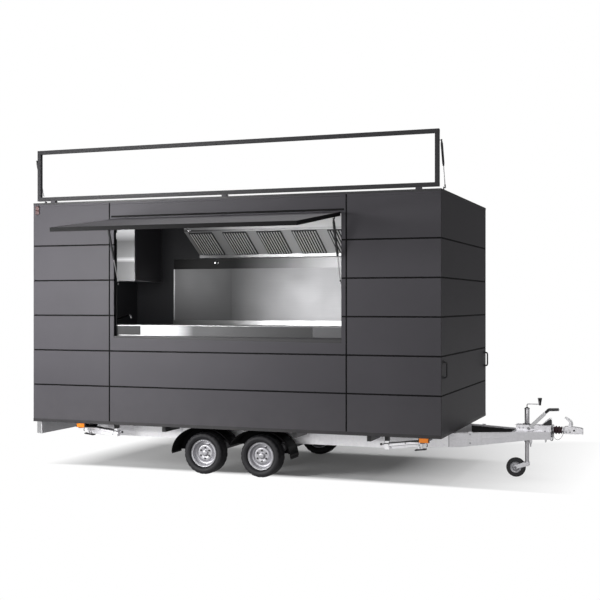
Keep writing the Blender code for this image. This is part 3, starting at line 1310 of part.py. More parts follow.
def sink_centre():
    """The X and Y of the sink's middle: the basin starts just ahead of the tap's body."""
    x = X_FRONT - TAP_BACK + TAP_BODY_RADIUS + SINK_MARGIN + SINK_LENGTH / 2
    return x, -Y_SIDE + WALL + SEAT_GAP + SERVING_DEPTH / 2


def build_serving_counter():
    """The steel counter behind the hatch, with its sink and tap."""
    front = -Y_SIDE + WALL + SEAT_GAP
    low_z = Z_FLOOR + SEAT_GAP
    y0 = front
    y1 = front + SERVING_DEPTH
    x0, x1 = INSIDE_X0, INSIDE_X1
    counter = box("serving_counter", (x0, y0, SERVING_TOP - WORKTOP), (x1, y1, SERVING_TOP))
    dress(counter, STAINLESS)
    carcass = box("serving_carcass", (x0, y0 + APRON_THICKNESS / 2, low_z + PLINTH),
                  (x1, y1 - COUNTER_LIP, SERVING_TOP - WORKTOP + WELD), CUTTERS)
    apron = box("serving_apron", (x0, y0, SERVING_TOP - SERVING_APRON),
                (x1, y0 + APRON_THICKNESS, SERVING_TOP - WELD), CUTTERS)
    plinth = box("serving_plinth", (x0 + PLINTH_INSET, y0 + COUNTER_LIP, low_z),
                 (x1 - PLINTH_INSET, y1 - PLINTH_RECESS - COUNTER_LIP, low_z + PLINTH + WELD), CUTTERS)
    join(counter, apron, carcass, plinth)
    sink_x, sink_y = sink_centre()
    basin = box("sink_basin", (sink_x - SINK_LENGTH / 2, sink_y - SINK_WIDTH / 2, SERVING_TOP - SINK_DEPTH),
                (sink_x + SINK_LENGTH / 2, sink_y + SINK_WIDTH / 2, SERVING_TOP + CUT_PAST), CUTTERS)
    cut(counter, basin)
    tap_x = X_FRONT - TAP_BACK
    spout_z = SERVING_TOP + TAP_HEIGHT
    tip_x = tap_x + TAP_REACH
    points = [(tap_x, sink_y, SERVING_TOP - WELD), (tap_x, sink_y, SERVING_TOP + TAP_NECK),
              (tap_x + TAP_BEND, sink_y, SERVING_TOP + TAP_NECK + TAP_BEND),
              (tip_x - TAP_SPOUT_DROP, sink_y, spout_z),
              (tip_x - TAP_BEND / 2, sink_y, spout_z - TAP_BEND / 2),
              (tip_x, sink_y, spout_z - TAP_SPOUT_DROP)]
    tap = tube("tap_spout", points, TAP_RADIUS, CUTTERS)
    body = rod("tap_body", (tap_x, sink_y, SERVING_TOP - WELD),
               (tap_x, sink_y, SERVING_TOP + TAP_BODY_HEIGHT), TAP_BODY_RADIUS, 16, CUTTERS)
    join(counter, body, tap)


def build_cook_side():
    """The cooking counter, splashback, extraction hood and wall cabinet on the far wall."""
    low_z = Z_FLOOR + SEAT_GAP
    x0, x1 = X_FRONT - SPLASHBACK_REAR_BACK, INSIDE_X1
    y1 = INSIDE_Y
    y0 = y1 - COOK_DEPTH
    counter = dress(box("cook_counter", (x0, y0, COOK_TOP - WORKTOP), (x1, y1, COOK_TOP)), STAINLESS)
    carcass = box("cook_carcass", (x0 + WELD, y0 + COUNTER_LIP, low_z + PLINTH),
                  (x1 - FLUSH, y1 - FLUSH, COOK_TOP - WORKTOP + WELD), CUTTERS)
    plinth = box("cook_plinth", (x0 + PLINTH_INSET, y0 + PLINTH_RECESS + COUNTER_LIP, low_z),
                 (x1 - PLINTH_INSET, y1 - PLINTH_INSET, low_z + PLINTH + WELD), CUTTERS)
    upstand = box("cook_upstand", (x0, y1 - UPSTAND_THICKNESS, COOK_TOP - WELD),
                  (x1, y1, COOK_TOP + COOK_UPSTAND), CUTTERS)
    join(counter, carcass, plinth, upstand)
    splash_low = COOK_TOP + COOK_UPSTAND + SEAT_GAP
    dress(box("splashback", (x0, y1 - SPLASHBACK_THICKNESS, splash_low), (x1, y1, HOOD_GUTTER_Z - SEAT_GAP)),
          STAINLESS)

    hood_x0 = X_FRONT - HOOD_REAR_BACK
    fascia = y1 - HOOD_DEPTH
    gutter = y1 - HOOD_GUTTER_DEPTH
    fascia_foot = HOOD_FASCIA_Z - HOOD_LIP
    outline = [(fascia, Z_CEILING - SEAT_GAP), (fascia, fascia_foot), (fascia + HOOD_EDGE, fascia_foot),
               (gutter - HOOD_EDGE, HOOD_GUTTER_TOP), (gutter - HOOD_EDGE, HOOD_GUTTER_Z),
               (y1, HOOD_GUTTER_Z), (y1, Z_CEILING - SEAT_GAP)]
    hood = dress(plate("extraction_hood", outline, hood_x0, x1, "YZ"), STAINLESS)
    slope_from = Vector((0.0, fascia + HOOD_EDGE, fascia_foot))
    slope_to = Vector((0.0, gutter - HOOD_EDGE, HOOD_GUTTER_TOP))
    slope = (slope_to - slope_from).normalized()
    proud = Vector((0.0, -slope.z, slope.y))
    if proud.z > 0:
        proud = -proud
    length = (slope_to - slope_from).length
    groups = int((x1 - hood_x0 - FILTER_MARGIN) / FILTER_PITCH)
    for group in range(groups):
        bm = bmesh.new()
        for slat in range(BAFFLES):
            x = hood_x0 + FILTER_INSET + group * FILTER_PITCH + slat * BAFFLE_PITCH
            middle = slope_from + slope * length * 0.5 + proud * (BAFFLE_PROUD - WELD) / 2
            middle.x = x
            turn = Matrix((Vector((1, 0, 0)), slope, proud)).transposed().to_4x4()
            size = Matrix.Diagonal((BAFFLE_WIDTH, length - 2 * BAFFLE_END, BAFFLE_PROUD + WELD, 1.0))
            bmesh.ops.create_cube(bm, size=1.0, matrix=Matrix.Translation(middle) @ turn @ size)
        join(hood, mesh_object("baffles_%d" % group, bm, CUTTERS))

    dress(box("wall_cabinet", (INSIDE_X0, y1 - CABINET_WIDTH, CABINET_FOOT_Z),
              (INSIDE_X0 + CABINET_DEPTH, y1, Z_CEILING - SEAT_GAP)), STAINLESS)


def build_cable():
    """The breakaway cable's loop from the housing's end plate to the coupling head."""
    x0 = X_FRONT + HOUSING_FRONT - WELD / 2 + SEAT_GAP
    z0 = COUPLING_Z - CABLE_DROP
    points = [(x0 + along, CABLE_Y + aside, z0 + up) for along, aside, up in CABLE_ROUTE]
    points.append((X_FRONT + COUPLING_TIP - HEAD_LENGTH - SEAT_GAP, CABLE_Y, points[-1][2]))
    dress(tube("breakaway_cable", points, CABLE_RADIUS), CABLE_COAT)


build_walls()
build_door()
build_roof()
build_sign()
build_flap()
build_struts()
build_wheels()
build_axles()
build_mudguards()
build_chassis()
build_steadies()
build_drawbar()
build_coupling()
build_jockey()
build_lamps()
build_handles()
build_serving_counter()
build_cook_side()
build_cable()

flap_edge = flap_point(FLAP_LENGTH, 0.0)[0]
x_middle = (X_FRONT + COUPLING_TIP + X_REAR - HANDLE_REACH) / 2
y_middle = (flap_edge + Y_SIDE) / 2
anchor.location = (-x_middle, -y_middle, 0.0)
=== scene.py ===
"""Looks of the food trailer: finishes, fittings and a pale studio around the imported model.

Sizes are in metres in the trailer's own frame: X = 0 at the middle of the body with +X to the
coupling, Y = 0 on the centreline with -Y on the serving side, Z = 0 on the ground. Mesher moves each
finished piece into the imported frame.
"""

import json
import logging
from dataclasses import dataclass
from enum import Enum
from math import acos, cos, degrees, dist, hypot, pi, radians, sin, tan
from typing import Callable, Optional, Sequence, Union

import bmesh
import bpy
from mathutils import Matrix, Vector


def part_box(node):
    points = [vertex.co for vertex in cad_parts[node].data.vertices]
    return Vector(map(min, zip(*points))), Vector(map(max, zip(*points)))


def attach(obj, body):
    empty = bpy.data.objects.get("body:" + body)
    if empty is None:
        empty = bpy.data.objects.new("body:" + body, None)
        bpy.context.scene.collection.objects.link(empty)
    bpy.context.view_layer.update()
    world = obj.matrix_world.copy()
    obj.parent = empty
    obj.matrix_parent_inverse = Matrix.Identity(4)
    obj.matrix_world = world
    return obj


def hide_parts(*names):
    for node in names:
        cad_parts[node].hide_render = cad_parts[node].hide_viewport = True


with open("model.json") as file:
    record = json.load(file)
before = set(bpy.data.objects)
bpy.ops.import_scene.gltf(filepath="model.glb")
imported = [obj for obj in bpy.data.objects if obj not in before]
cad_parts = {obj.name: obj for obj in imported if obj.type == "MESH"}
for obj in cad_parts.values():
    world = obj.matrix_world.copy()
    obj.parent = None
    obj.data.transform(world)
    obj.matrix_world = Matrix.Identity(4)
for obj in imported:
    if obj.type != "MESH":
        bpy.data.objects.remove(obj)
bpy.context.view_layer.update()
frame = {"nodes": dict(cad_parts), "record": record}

LOG = logging.getLogger("food_trailer")

Point = tuple[float, float, float]
Pair = tuple[float, float]
Color = tuple[float, float, float]
Socket = bpy.types.NodeSocket
Value = Union[Socket, float, Color]
Spot = Callable[[float, float], Pair]

ORIGIN = Vector((-0.5775, 0.613815, 0.0))
ROOT = "trailer"

X_FRONT = 2.275
X_REAR = -2.275
Y_SIDE = 1.15
Z_BASE = 0.5
Z_FLOOR = 0.53
Z_CEILING = 2.85
Z_TOP = 2.89
HATCH_X = 1.274
HATCH_SILL = 1.444
HATCH_TOP = 2.695
FLAP_DROOP = radians(8.1)
SEAM_HEIGHTS = tuple(Z_FLOOR + 0.378 * row for row in range(1, 6))
COLUMN_X = 1.326
Y_WHEEL = 0.912
WHEEL_RADIUS = 0.22
RAIL_Y = 0.73
BEND_X = 1.6
BEAM_TIP_X = 3.16
BEAM_TIP_Y = 0.062
WHEEL_X = {"front": 0.345, "rear": -0.3}
SIDES = {"serving": -1, "offside": 1}


class Axis(Enum):
    """The way along which an outline is made thick: where X, Y and Z stand in (u, v, thickness)."""

    X = (2, 0, 1)
    Y = (0, 2, 1)
    Z = (0, 1, 2)


class Grain(Enum):
    """The way that a steel sheet was brushed."""

    ALONG = (3.0, 620.0, 620.0)
    UPRIGHT = (620.0, 620.0, 3.0)
    ACROSS = (620.0, 3.0, 620.0)


class Nodes:
    """Short calls that fill one node tree."""

    def __init__(self, tree: bpy.types.NodeTree, place: str = "Object") -> None:
        """Start on a tree whose patterns follow one kind of coordinates."""
        self.tree = tree
        self.place = self.node("ShaderNodeTexCoord").outputs[place]

    def node(self, kind: str, **settings) -> bpy.types.Node:
        """Add a node.

        Args:
            kind: the node's type.
            settings: attributes to set on it.

        Returns:
            The node.
        """
        made = self.tree.nodes.new(kind)
        for key, value in settings.items():
            setattr(made, key, value)
        return made

    def feed(self, socket: Socket, value: Value) -> None:
        """Link or set an input.

        Args:
            socket: the input.
            value: an output socket, a number or a colour.
        """
        if isinstance(value, Socket):
            self.tree.links.new(value, socket)
        elif isinstance(value, tuple) and len(value) == 3 and socket.type == "RGBA":
            socket.default_value = (*value, 1.0)
        else:
            socket.default_value = value

    def stretched(self, scale: Point) -> Socket:
        """Object coordinates, scaled by axis.

        Args:
            scale: the scale along X, Y and Z.

        Returns:
            The vector output.
        """
        mapping = self.node("ShaderNodeMapping")
        self.feed(mapping.inputs["Vector"], self.place)
        mapping.inputs["Scale"].default_value = scale
        return mapping.outputs["Vector"]

    def noise(self, scale: float, detail: float = 2.0, vector: Optional[Socket] = None) -> Socket:
        """Noise from 0 to 1.

        Args:
            scale: features per metre.
            detail: octaves.
            vector: coordinates, or None for the object's own.

        Returns:
            The factor output.
        """
        made = self.node("ShaderNodeTexNoise")
        self.feed(made.inputs["Vector"], self.place if vector is None else vector)
        made.inputs["Scale"].default_value = scale
        made.inputs["Detail"].default_value = detail
        return made.outputs["Fac"]

    def cells(self, scale: float, warp: float = 0.0) -> Socket:
        """Random values of Voronoi cells.

        Args:
            scale: cells per metre.
            warp: how far noise bends the cells, in cells.

        Returns:
            A value output from 0 to 1.
        """
        vector = self.place
        if warp:
            bend = self.node("ShaderNodeVectorMath", operation="MULTIPLY_ADD")
            source = self.node("ShaderNodeTexNoise")
            self.feed(source.inputs["Vector"], self.place)
            source.inputs["Scale"].default_value = scale * 1.7
            self.feed(bend.inputs[0], source.outputs["Color"])
            bend.inputs[1].default_value = (warp / scale,) * 3
            self.feed(bend.inputs[2], self.place)
            vector = bend.outputs["Vector"]
        made = self.node("ShaderNodeTexVoronoi")
        self.feed(made.inputs["Vector"], vector)
        made.inputs["Scale"].default_value = scale
        split = self.node("ShaderNodeSeparateColor")
        self.feed(split.inputs["Color"], made.outputs["Color"])
        return split.outputs[0]

    def ramp(self, value: Value, stops: Sequence[tuple[float, Color]]) -> Socket:
        """A colour ramp.

        Args:
            value: the factor.
            stops: positions and colours.

        Returns:
            The colour output.
        """
        made = self.node("ShaderNodeValToRGB")
        self.feed(made.inputs["Fac"], value)
        elements = made.color_ramp.elements
        while len(elements) < len(stops):
            elements.new(0.5)
        for element, (position, color) in zip(elements, stops):
            element.position = position
            element.color = (*color, 1.0)
        return made.outputs["Color"]

    def span(self, value: Value, low: float, high: float, start: float = 0.0, end: float = 1.0) -> Socket:
        """Map a value from start..end to low..high, clamped.

        Args:
            value: the input.
            low: result at start.
            high: result at end.
            start: first input value.
            end: last input value.

        Returns:
            The value output.
        """
        made = self.node("ShaderNodeMapRange")
        self.feed(made.inputs["Value"], value)
        for key, number in (("From Min", start), ("From Max", end), ("To Min", low), ("To Max", high)):
            made.inputs[key].default_value = number
        return made.outputs["Result"]

    def blend(self, factor: Value, first: Value, second: Value, mode: str = "MIX") -> Socket:
        """Mix two colours.

        Args:
            factor: how much of the second.
            first: a colour or output.
            second: a colour or output.
            mode: the blend mode.

        Returns:
            The colour output.
        """
        made = self.node("ShaderNodeMix", data_type="RGBA", blend_type=mode)
        self.feed(made.inputs[0], factor)
        self.feed(made.inputs[6], first)
        self.feed(made.inputs[7], second)
        return made.outputs[2]

    def math(self, operation: str, first: Value, second: Value = 0.0) -> Socket:
        """One sum on numbers.

        Args:
            operation: the math node's operation.
            first: the first number or output.
            second: the second.

        Returns:
            The value output.
        """
        made = self.node("ShaderNodeMath", operation=operation)
        self.feed(made.inputs[0], first)
        self.feed(made.inputs[1], second)
        return made.outputs[0]

    def axes(self) -> tuple[Socket, Socket, Socket]:
        """Split the coordinates.

        Returns:
            Their X, Y and Z outputs.
        """
        split = self.node("ShaderNodeSeparateXYZ")
        self.feed(split.inputs[0], self.place)
        return split.outputs[0], split.outputs[1], split.outputs[2]

    def mix(self, factor: Value, first: bpy.types.Node, second: bpy.types.Node) -> Socket:
        """Mix two shaders.

        Args:
            factor: how much of the second.
            first: a shader node.
            second: another.

        Returns:
            The shader output.
        """
        made = self.node("ShaderNodeMixShader")
        for socket, value in zip(made.inputs, (factor, first.outputs[0], second.outputs[0])):
            self.feed(socket, value)
        return made.outputs[0]


class Graph(Nodes):
    """One material's node tree around its shader."""

    def __init__(self, name: str) -> None:
        """Start a material.

        Args:
            name: the material's name.
        """
        self.material = bpy.data.materials.new(name)
        self.material.use_nodes = True
        super().__init__(self.material.node_tree)
        self.shader = self.tree.nodes["Principled BSDF"]

    def set(self, **inputs) -> None:
        """Set or link inputs of the shader, written with _ for a space."""
        for key, value in inputs.items():
            self.feed(self.shader.inputs[key.replace("_", " ")], value)

    def source(self, name: str) -> Socket:
        """The output that feeds one of the shader's inputs."""
        return self.shader.inputs[name].links[0].from_socket

    def away(self, axis: int) -> Socket:
        """The distance from the middle of the body, along X (0) or Y (1)."""
        return self.math("ABSOLUTE", self.math("SUBTRACT", self.axes()[axis], ORIGIN[axis]))

    def indoors(self, margin: float) -> Socket:
        """A value output, 1 where the surface is further inside than a margin from the walls' faces."""
        return self.math("MULTIPLY", self.math("LESS_THAN", self.away(0), X_FRONT - margin),
            self.math("LESS_THAN", self.away(1), Y_SIDE - margin))

    def relief(self, height: Value, depth: float, edge: float = 0.0) -> None:
        """Bump the surface, over edges rounded for the light.

        Args:
            height: the height output, 0 to 1.
            depth: the depth in metres.
            edge: the radius that edges seem to have.
        """
        bump = self.node("ShaderNodeBump")
        bump.inputs["Distance"].default_value = depth
        self.feed(bump.inputs["Height"], height)
        if edge:
            bevel = self.node("ShaderNodeBevel", samples=3)
            bevel.inputs["Radius"].default_value = edge
            self.feed(bump.inputs["Normal"], bevel.outputs[0])
        self.set(Normal=bump.outputs[0])


class Made:
    """The materials made so far, by finish."""

    found: dict = {}

    @classmethod
    def of(cls, finish: "Finish") -> bpy.types.Material:
        """The material of a finish, made once.

        Args:
            finish: the finish.

        Returns:
            The material.
        """
        if finish not in cls.found:
            graph = Graph(finish.name)
            finish.base(graph)
            finish.build(graph)
            cls.found[finish] = graph.material
        return cls.found[finish]


@dataclass(frozen=True)
class Finish:
    """A surface finish: its colour and how it takes light."""

    name: str
    color: Color
    roughness: float = 0.5
    metallic: float = 0.0
    specular: float = 0.5

    def shade(self, share: float) -> Color:
        """The colour, darker or lighter by a share."""
        return tuple(min(1.0, c * share) for c in self.color)

    def build(self, graph: Graph) -> None:
        """Fill in the node tree.

        Args:
            graph: the material's graph.
        """
        raise NotImplementedError

    def base(self, graph: Graph) -> None:
        """Set what is the same all over the surface."""
        graph.set(Metallic=self.metallic, Specular_IOR_Level=self.specular)

    def gloss(self, graph: Graph, value: Value, less: float, more: float) -> None:
        """Let the roughness follow a value, from less under to more over the finish's own."""
        graph.set(Roughness=graph.span(value, self.roughness - less, self.roughness + more))


@dataclass(frozen=True)
class Paint(Finish):
    """Sprayed paint with orange peel, faint clouding and road dust near the ground."""

    peel: float = 0.0001
    edge: float = 0.0015
    dust: float = 0.25

    def build(self, graph: Graph) -> None:
        """Fill in the node tree.

        Args:
            graph: the material's graph.
        """
        cloud = graph.noise(1.6, 3)
        color = graph.ramp(cloud, ((0.3, self.shade(0.95)), (0.7, self.shade(1.05))))
        _, _, z = graph.axes()
        low = graph.span(z, self.dust, 0, 0.15, 0.95)
        film = graph.math("MULTIPLY", low, graph.noise(9, 5))
        color = graph.blend(film, color, (0.2, 0.19, 0.18))
        graph.set(Base_Color=color)
        grain = graph.noise(60, 3)
        self.gloss(graph, grain, 0.05, 0.07)
        graph.relief(graph.noise(420, 2), self.peel, self.edge)


@dataclass(frozen=True)
class Cladding(Paint):
    """The body's paint outside, with painted shade in and along its seams, and the dark lining of the same
    panels inside.
    """

    lining: Color = (0.016, 0.016, 0.018)
    inset: float = 0.02
    pitch: float = 0.378
    groove: float = 0.0078

    def grooves(self, graph: Graph) -> Socket:
        """Where the surface lies in or beside a seam between two panels, which is painted with shade.

        Args:
            graph: the material's graph.

        Returns:
            A value output, 1 in a seam.
        """
        z = graph.axes()[2]
        level = graph.math("MODULO", graph.math("SUBTRACT", z, Z_FLOOR), self.pitch)
        away = graph.math("MINIMUM", level, graph.math("SUBTRACT", self.pitch, level))
        flat = graph.math("LESS_THAN", away, self.groove)
        high = graph.math("MULTIPLY", graph.math("GREATER_THAN", z, Z_FLOOR + 0.2),
            graph.math("LESS_THAN", z, SEAM_HEIGHTS[-1] + 0.1))
        column = graph.math("ABSOLUTE", graph.math("SUBTRACT", graph.away(0), COLUMN_X))
        upright = graph.math("LESS_THAN", column, self.groove)
        return graph.math("MAXIMUM", graph.math("MULTIPLY", flat, high), upright)

    def build(self, graph: Graph) -> None:
        """Fill in the node tree.

        Args:
            graph: the material's graph.
        """
        super().build(graph)
        below = graph.math("LESS_THAN", graph.axes()[2], Z_CEILING + 0.01)
        inside = graph.math("MULTIPLY", graph.indoors(self.inset), below)
        # Painted shade: the seams and a band beside each are made near black and rough, standing in for the
        # shade in the grooves.
        seam = graph.math("MULTIPLY", self.grooves(graph), graph.math("SUBTRACT", 1, inside))
        outer = graph.blend(seam, graph.source("Base Color"), self.shade(0.03))
        graph.set(Base_Color=graph.blend(inside, outer, self.lining), Roughness=graph.math("MAXIMUM",
            graph.source("Roughness"), seam))


@dataclass(frozen=True)
class Galvanised(Finish):
    """Hot-dip zinc: spangle, dull patches and a rain-streaked film."""

    spangle: float = 70.0
    edge: float = 0.0012

    def build(self, graph: Graph) -> None:
        """Fill in the node tree.

        Args:
            graph: the material's graph.
        """
        cell = graph.cells(self.spangle, 0.5)
        patch = graph.noise(7, 4)
        color = graph.ramp(cell, ((0, self.shade(0.97)), (0.55, self.color), (1, self.shade(1.03))))
        color = graph.blend(graph.span(patch, 0, 0.35, 0.45, 0.75), color, self.shade(0.9))
        streak = graph.noise(1, 3, graph.stretched((38, 38, 2.5)))
        color = graph.blend(graph.span(streak, 0, 0.22, 0.5, 0.8), color, (0.72, 0.72, 0.72))
        graph.set(Base_Color=color)
        mixed = graph.math("ADD", graph.math("MULTIPLY", cell, 0.6), graph.math("MULTIPLY", patch, 0.4))
        self.gloss(graph, mixed, 0.05, 0.08)
        graph.relief(graph.noise(240, 3), 0.00012, self.edge)


@dataclass(frozen=True)
class ShadedZinc(Galvanised):
    """Zinc rails, with painted shade on the outriggers outside them: near black and not metallic, where
    they lie in shade under the body.
    """

    painted_shade: Color = (0.01, 0.01, 0.011)
    shade_from_y: float = 0.752
    shade_to_x: float = 2.15
    shade_above_z: float = 0.437

    def build(self, graph: Graph) -> None:
        """Fill in the node tree.

        Args:
            graph: the material's graph.
        """
        super().build(graph)
        # Painted shade: the outriggers outside the rails, along the body and above a height, are made near
        # black where shade falls under the body.
        outside = graph.math("MULTIPLY", graph.math("GREATER_THAN", graph.away(1), self.shade_from_y),
            graph.math("LESS_THAN", graph.away(0), self.shade_to_x))
        high = graph.math("GREATER_THAN", graph.axes()[2], self.shade_above_z)
        outside = graph.math("MULTIPLY", outside, high)
        graph.set(Base_Color=graph.blend(outside, graph.source("Base Color"), self.painted_shade))
        graph.set(Metallic=graph.span(outside, self.metallic, 0))


@dataclass(frozen=True)
class Brushed(Finish):
    """Brushed stainless sheet."""

    grain: Grain = Grain.ALONG
    edge: float = 0.001

    def build(self, graph: Graph) -> None:
        """Fill in the node tree.

        Args:
            graph: the material's graph.
        """
        lines = graph.noise(1, 4, graph.stretched(self.grain.value))
        smear = graph.noise(3.2, 4)
        color = graph.ramp(lines, ((0.25, self.shade(0.9)), (0.75, self.shade(1.06))))
        graph.set(Base_Color=graph.blend(graph.span(smear, 0, 0.25), color, self.shade(0.86)))
        rough = graph.math("ADD", graph.math("MULTIPLY", lines, 0.14), graph.math("MULTIPLY", smear, 0.12))
        graph.set(Roughness=graph.math("ADD", rough, self.roughness - 0.13))
        graph.relief(lines, 0.00006, self.edge)


@dataclass(frozen=True)
class LightRampSteel(Brushed):
    """Brushed sheet with painted light and shade: its colour is made lighter or darker along one axis,
    standing in for the light and reflections that fall on it from place to place.
    """

    axis: int = 0
    light_shares: tuple = ((0.0, 1.0), (1.0, 1.0))
    reach: Pair = (0.0, 1.0)

    def build(self, graph: Graph) -> None:
        """Fill in the node tree.

        Args:
            graph: the material's graph.
        """
        super().build(graph)
        offset = ORIGIN[self.axis]
        along = graph.span(graph.axes()[self.axis], 0, 1, self.reach[0] + offset, self.reach[1] + offset)
        # Painted light and shade: the ramp scales the colour along the axis.
        tone = graph.ramp(along, tuple((place, (share,) * 3) for place, share in self.light_shares))
        graph.set(Base_Color=graph.blend(1, graph.source("Base Color"), tone, "MULTIPLY"))


@dataclass(frozen=True)
class Rubber(Finish):
    """Moulded rubber, greyer where it is scuffed."""

    scuff: float = 0.5

    def build(self, graph: Graph) -> None:
        """Fill in the node tree.

        Args:
            graph: the material's graph.
        """
        wear = graph.noise(26, 5)
        color = graph.ramp(wear, ((0.35, self.shade(0.8)), (0.62, self.color), (0.8,
            self.shade(1 + self.scuff))))
        graph.set(Base_Color=color)
        self.gloss(graph, wear, 0.08, 0.08)
        graph.relief(graph.noise(650, 3), 0.00015, 0.0008)


@dataclass(frozen=True)
class Moulded(Finish):
    """Plastic out of a fine-grained mould."""

    grain: float = 900.0

    def build(self, graph: Graph) -> None:
        """Fill in the node tree.

        Args:
            graph: the material's graph.
        """
        tone = graph.noise(5, 3)
        graph.set(Base_Color=graph.ramp(tone, ((0.3, self.shade(0.92)), (0.7, self.shade(1.1)))))
        self.gloss(graph, graph.noise(40, 3), 0.06, 0.06)
        graph.relief(graph.noise(self.grain, 2), 0.00008, 0.0008)


@dataclass(frozen=True)
class Lens(Finish):
    """A ribbed lamp lens over a bright reflector."""

    glow: float = 0.15
    ribs: float = 260.0

    def build(self, graph: Graph) -> None:
        """Fill in the node tree.

        Args:
            graph: the material's graph.
        """
        wave = graph.node("ShaderNodeTexWave", wave_type="BANDS", bands_direction="X")
        graph.feed(wave.inputs["Vector"], graph.place)
        wave.inputs["Scale"].default_value = self.ribs / 6.0
        depth = graph.ramp(wave.outputs["Fac"], ((0, self.shade(0.72)), (1, self.color)))
        graph.set(Base_Color=depth, Emission_Color=depth, Emission_Strength=self.glow)
        graph.set(Roughness=graph.span(graph.noise(90), self.roughness, self.roughness + 0.12))
        graph.set(Coat_Weight=0.6)
        graph.shader.inputs["Coat Roughness"].default_value = 0.05
        graph.relief(wave.outputs["Fac"], 0.0004, 0.001)


@dataclass(frozen=True)
class Deck(Finish):
    """Non-slip floor sheet, with a painted edge outside."""

    rail: Color = (0.02, 0.019, 0.022)

    def build(self, graph: Graph) -> None:
        """Fill in the node tree.

        Args:
            graph: the material's graph.
        """
        fleck = graph.cells(240)
        color = graph.ramp(fleck, ((0, self.shade(0.7)), (0.8, self.color), (1, self.shade(2.6))))
        inside = graph.indoors(0.02)
        graph.set(Base_Color=graph.blend(inside, self.rail, color))
        self.gloss(graph, graph.noise(70, 3), 0.15, 0.1)
        graph.relief(fleck, 0.0003, 0.001)


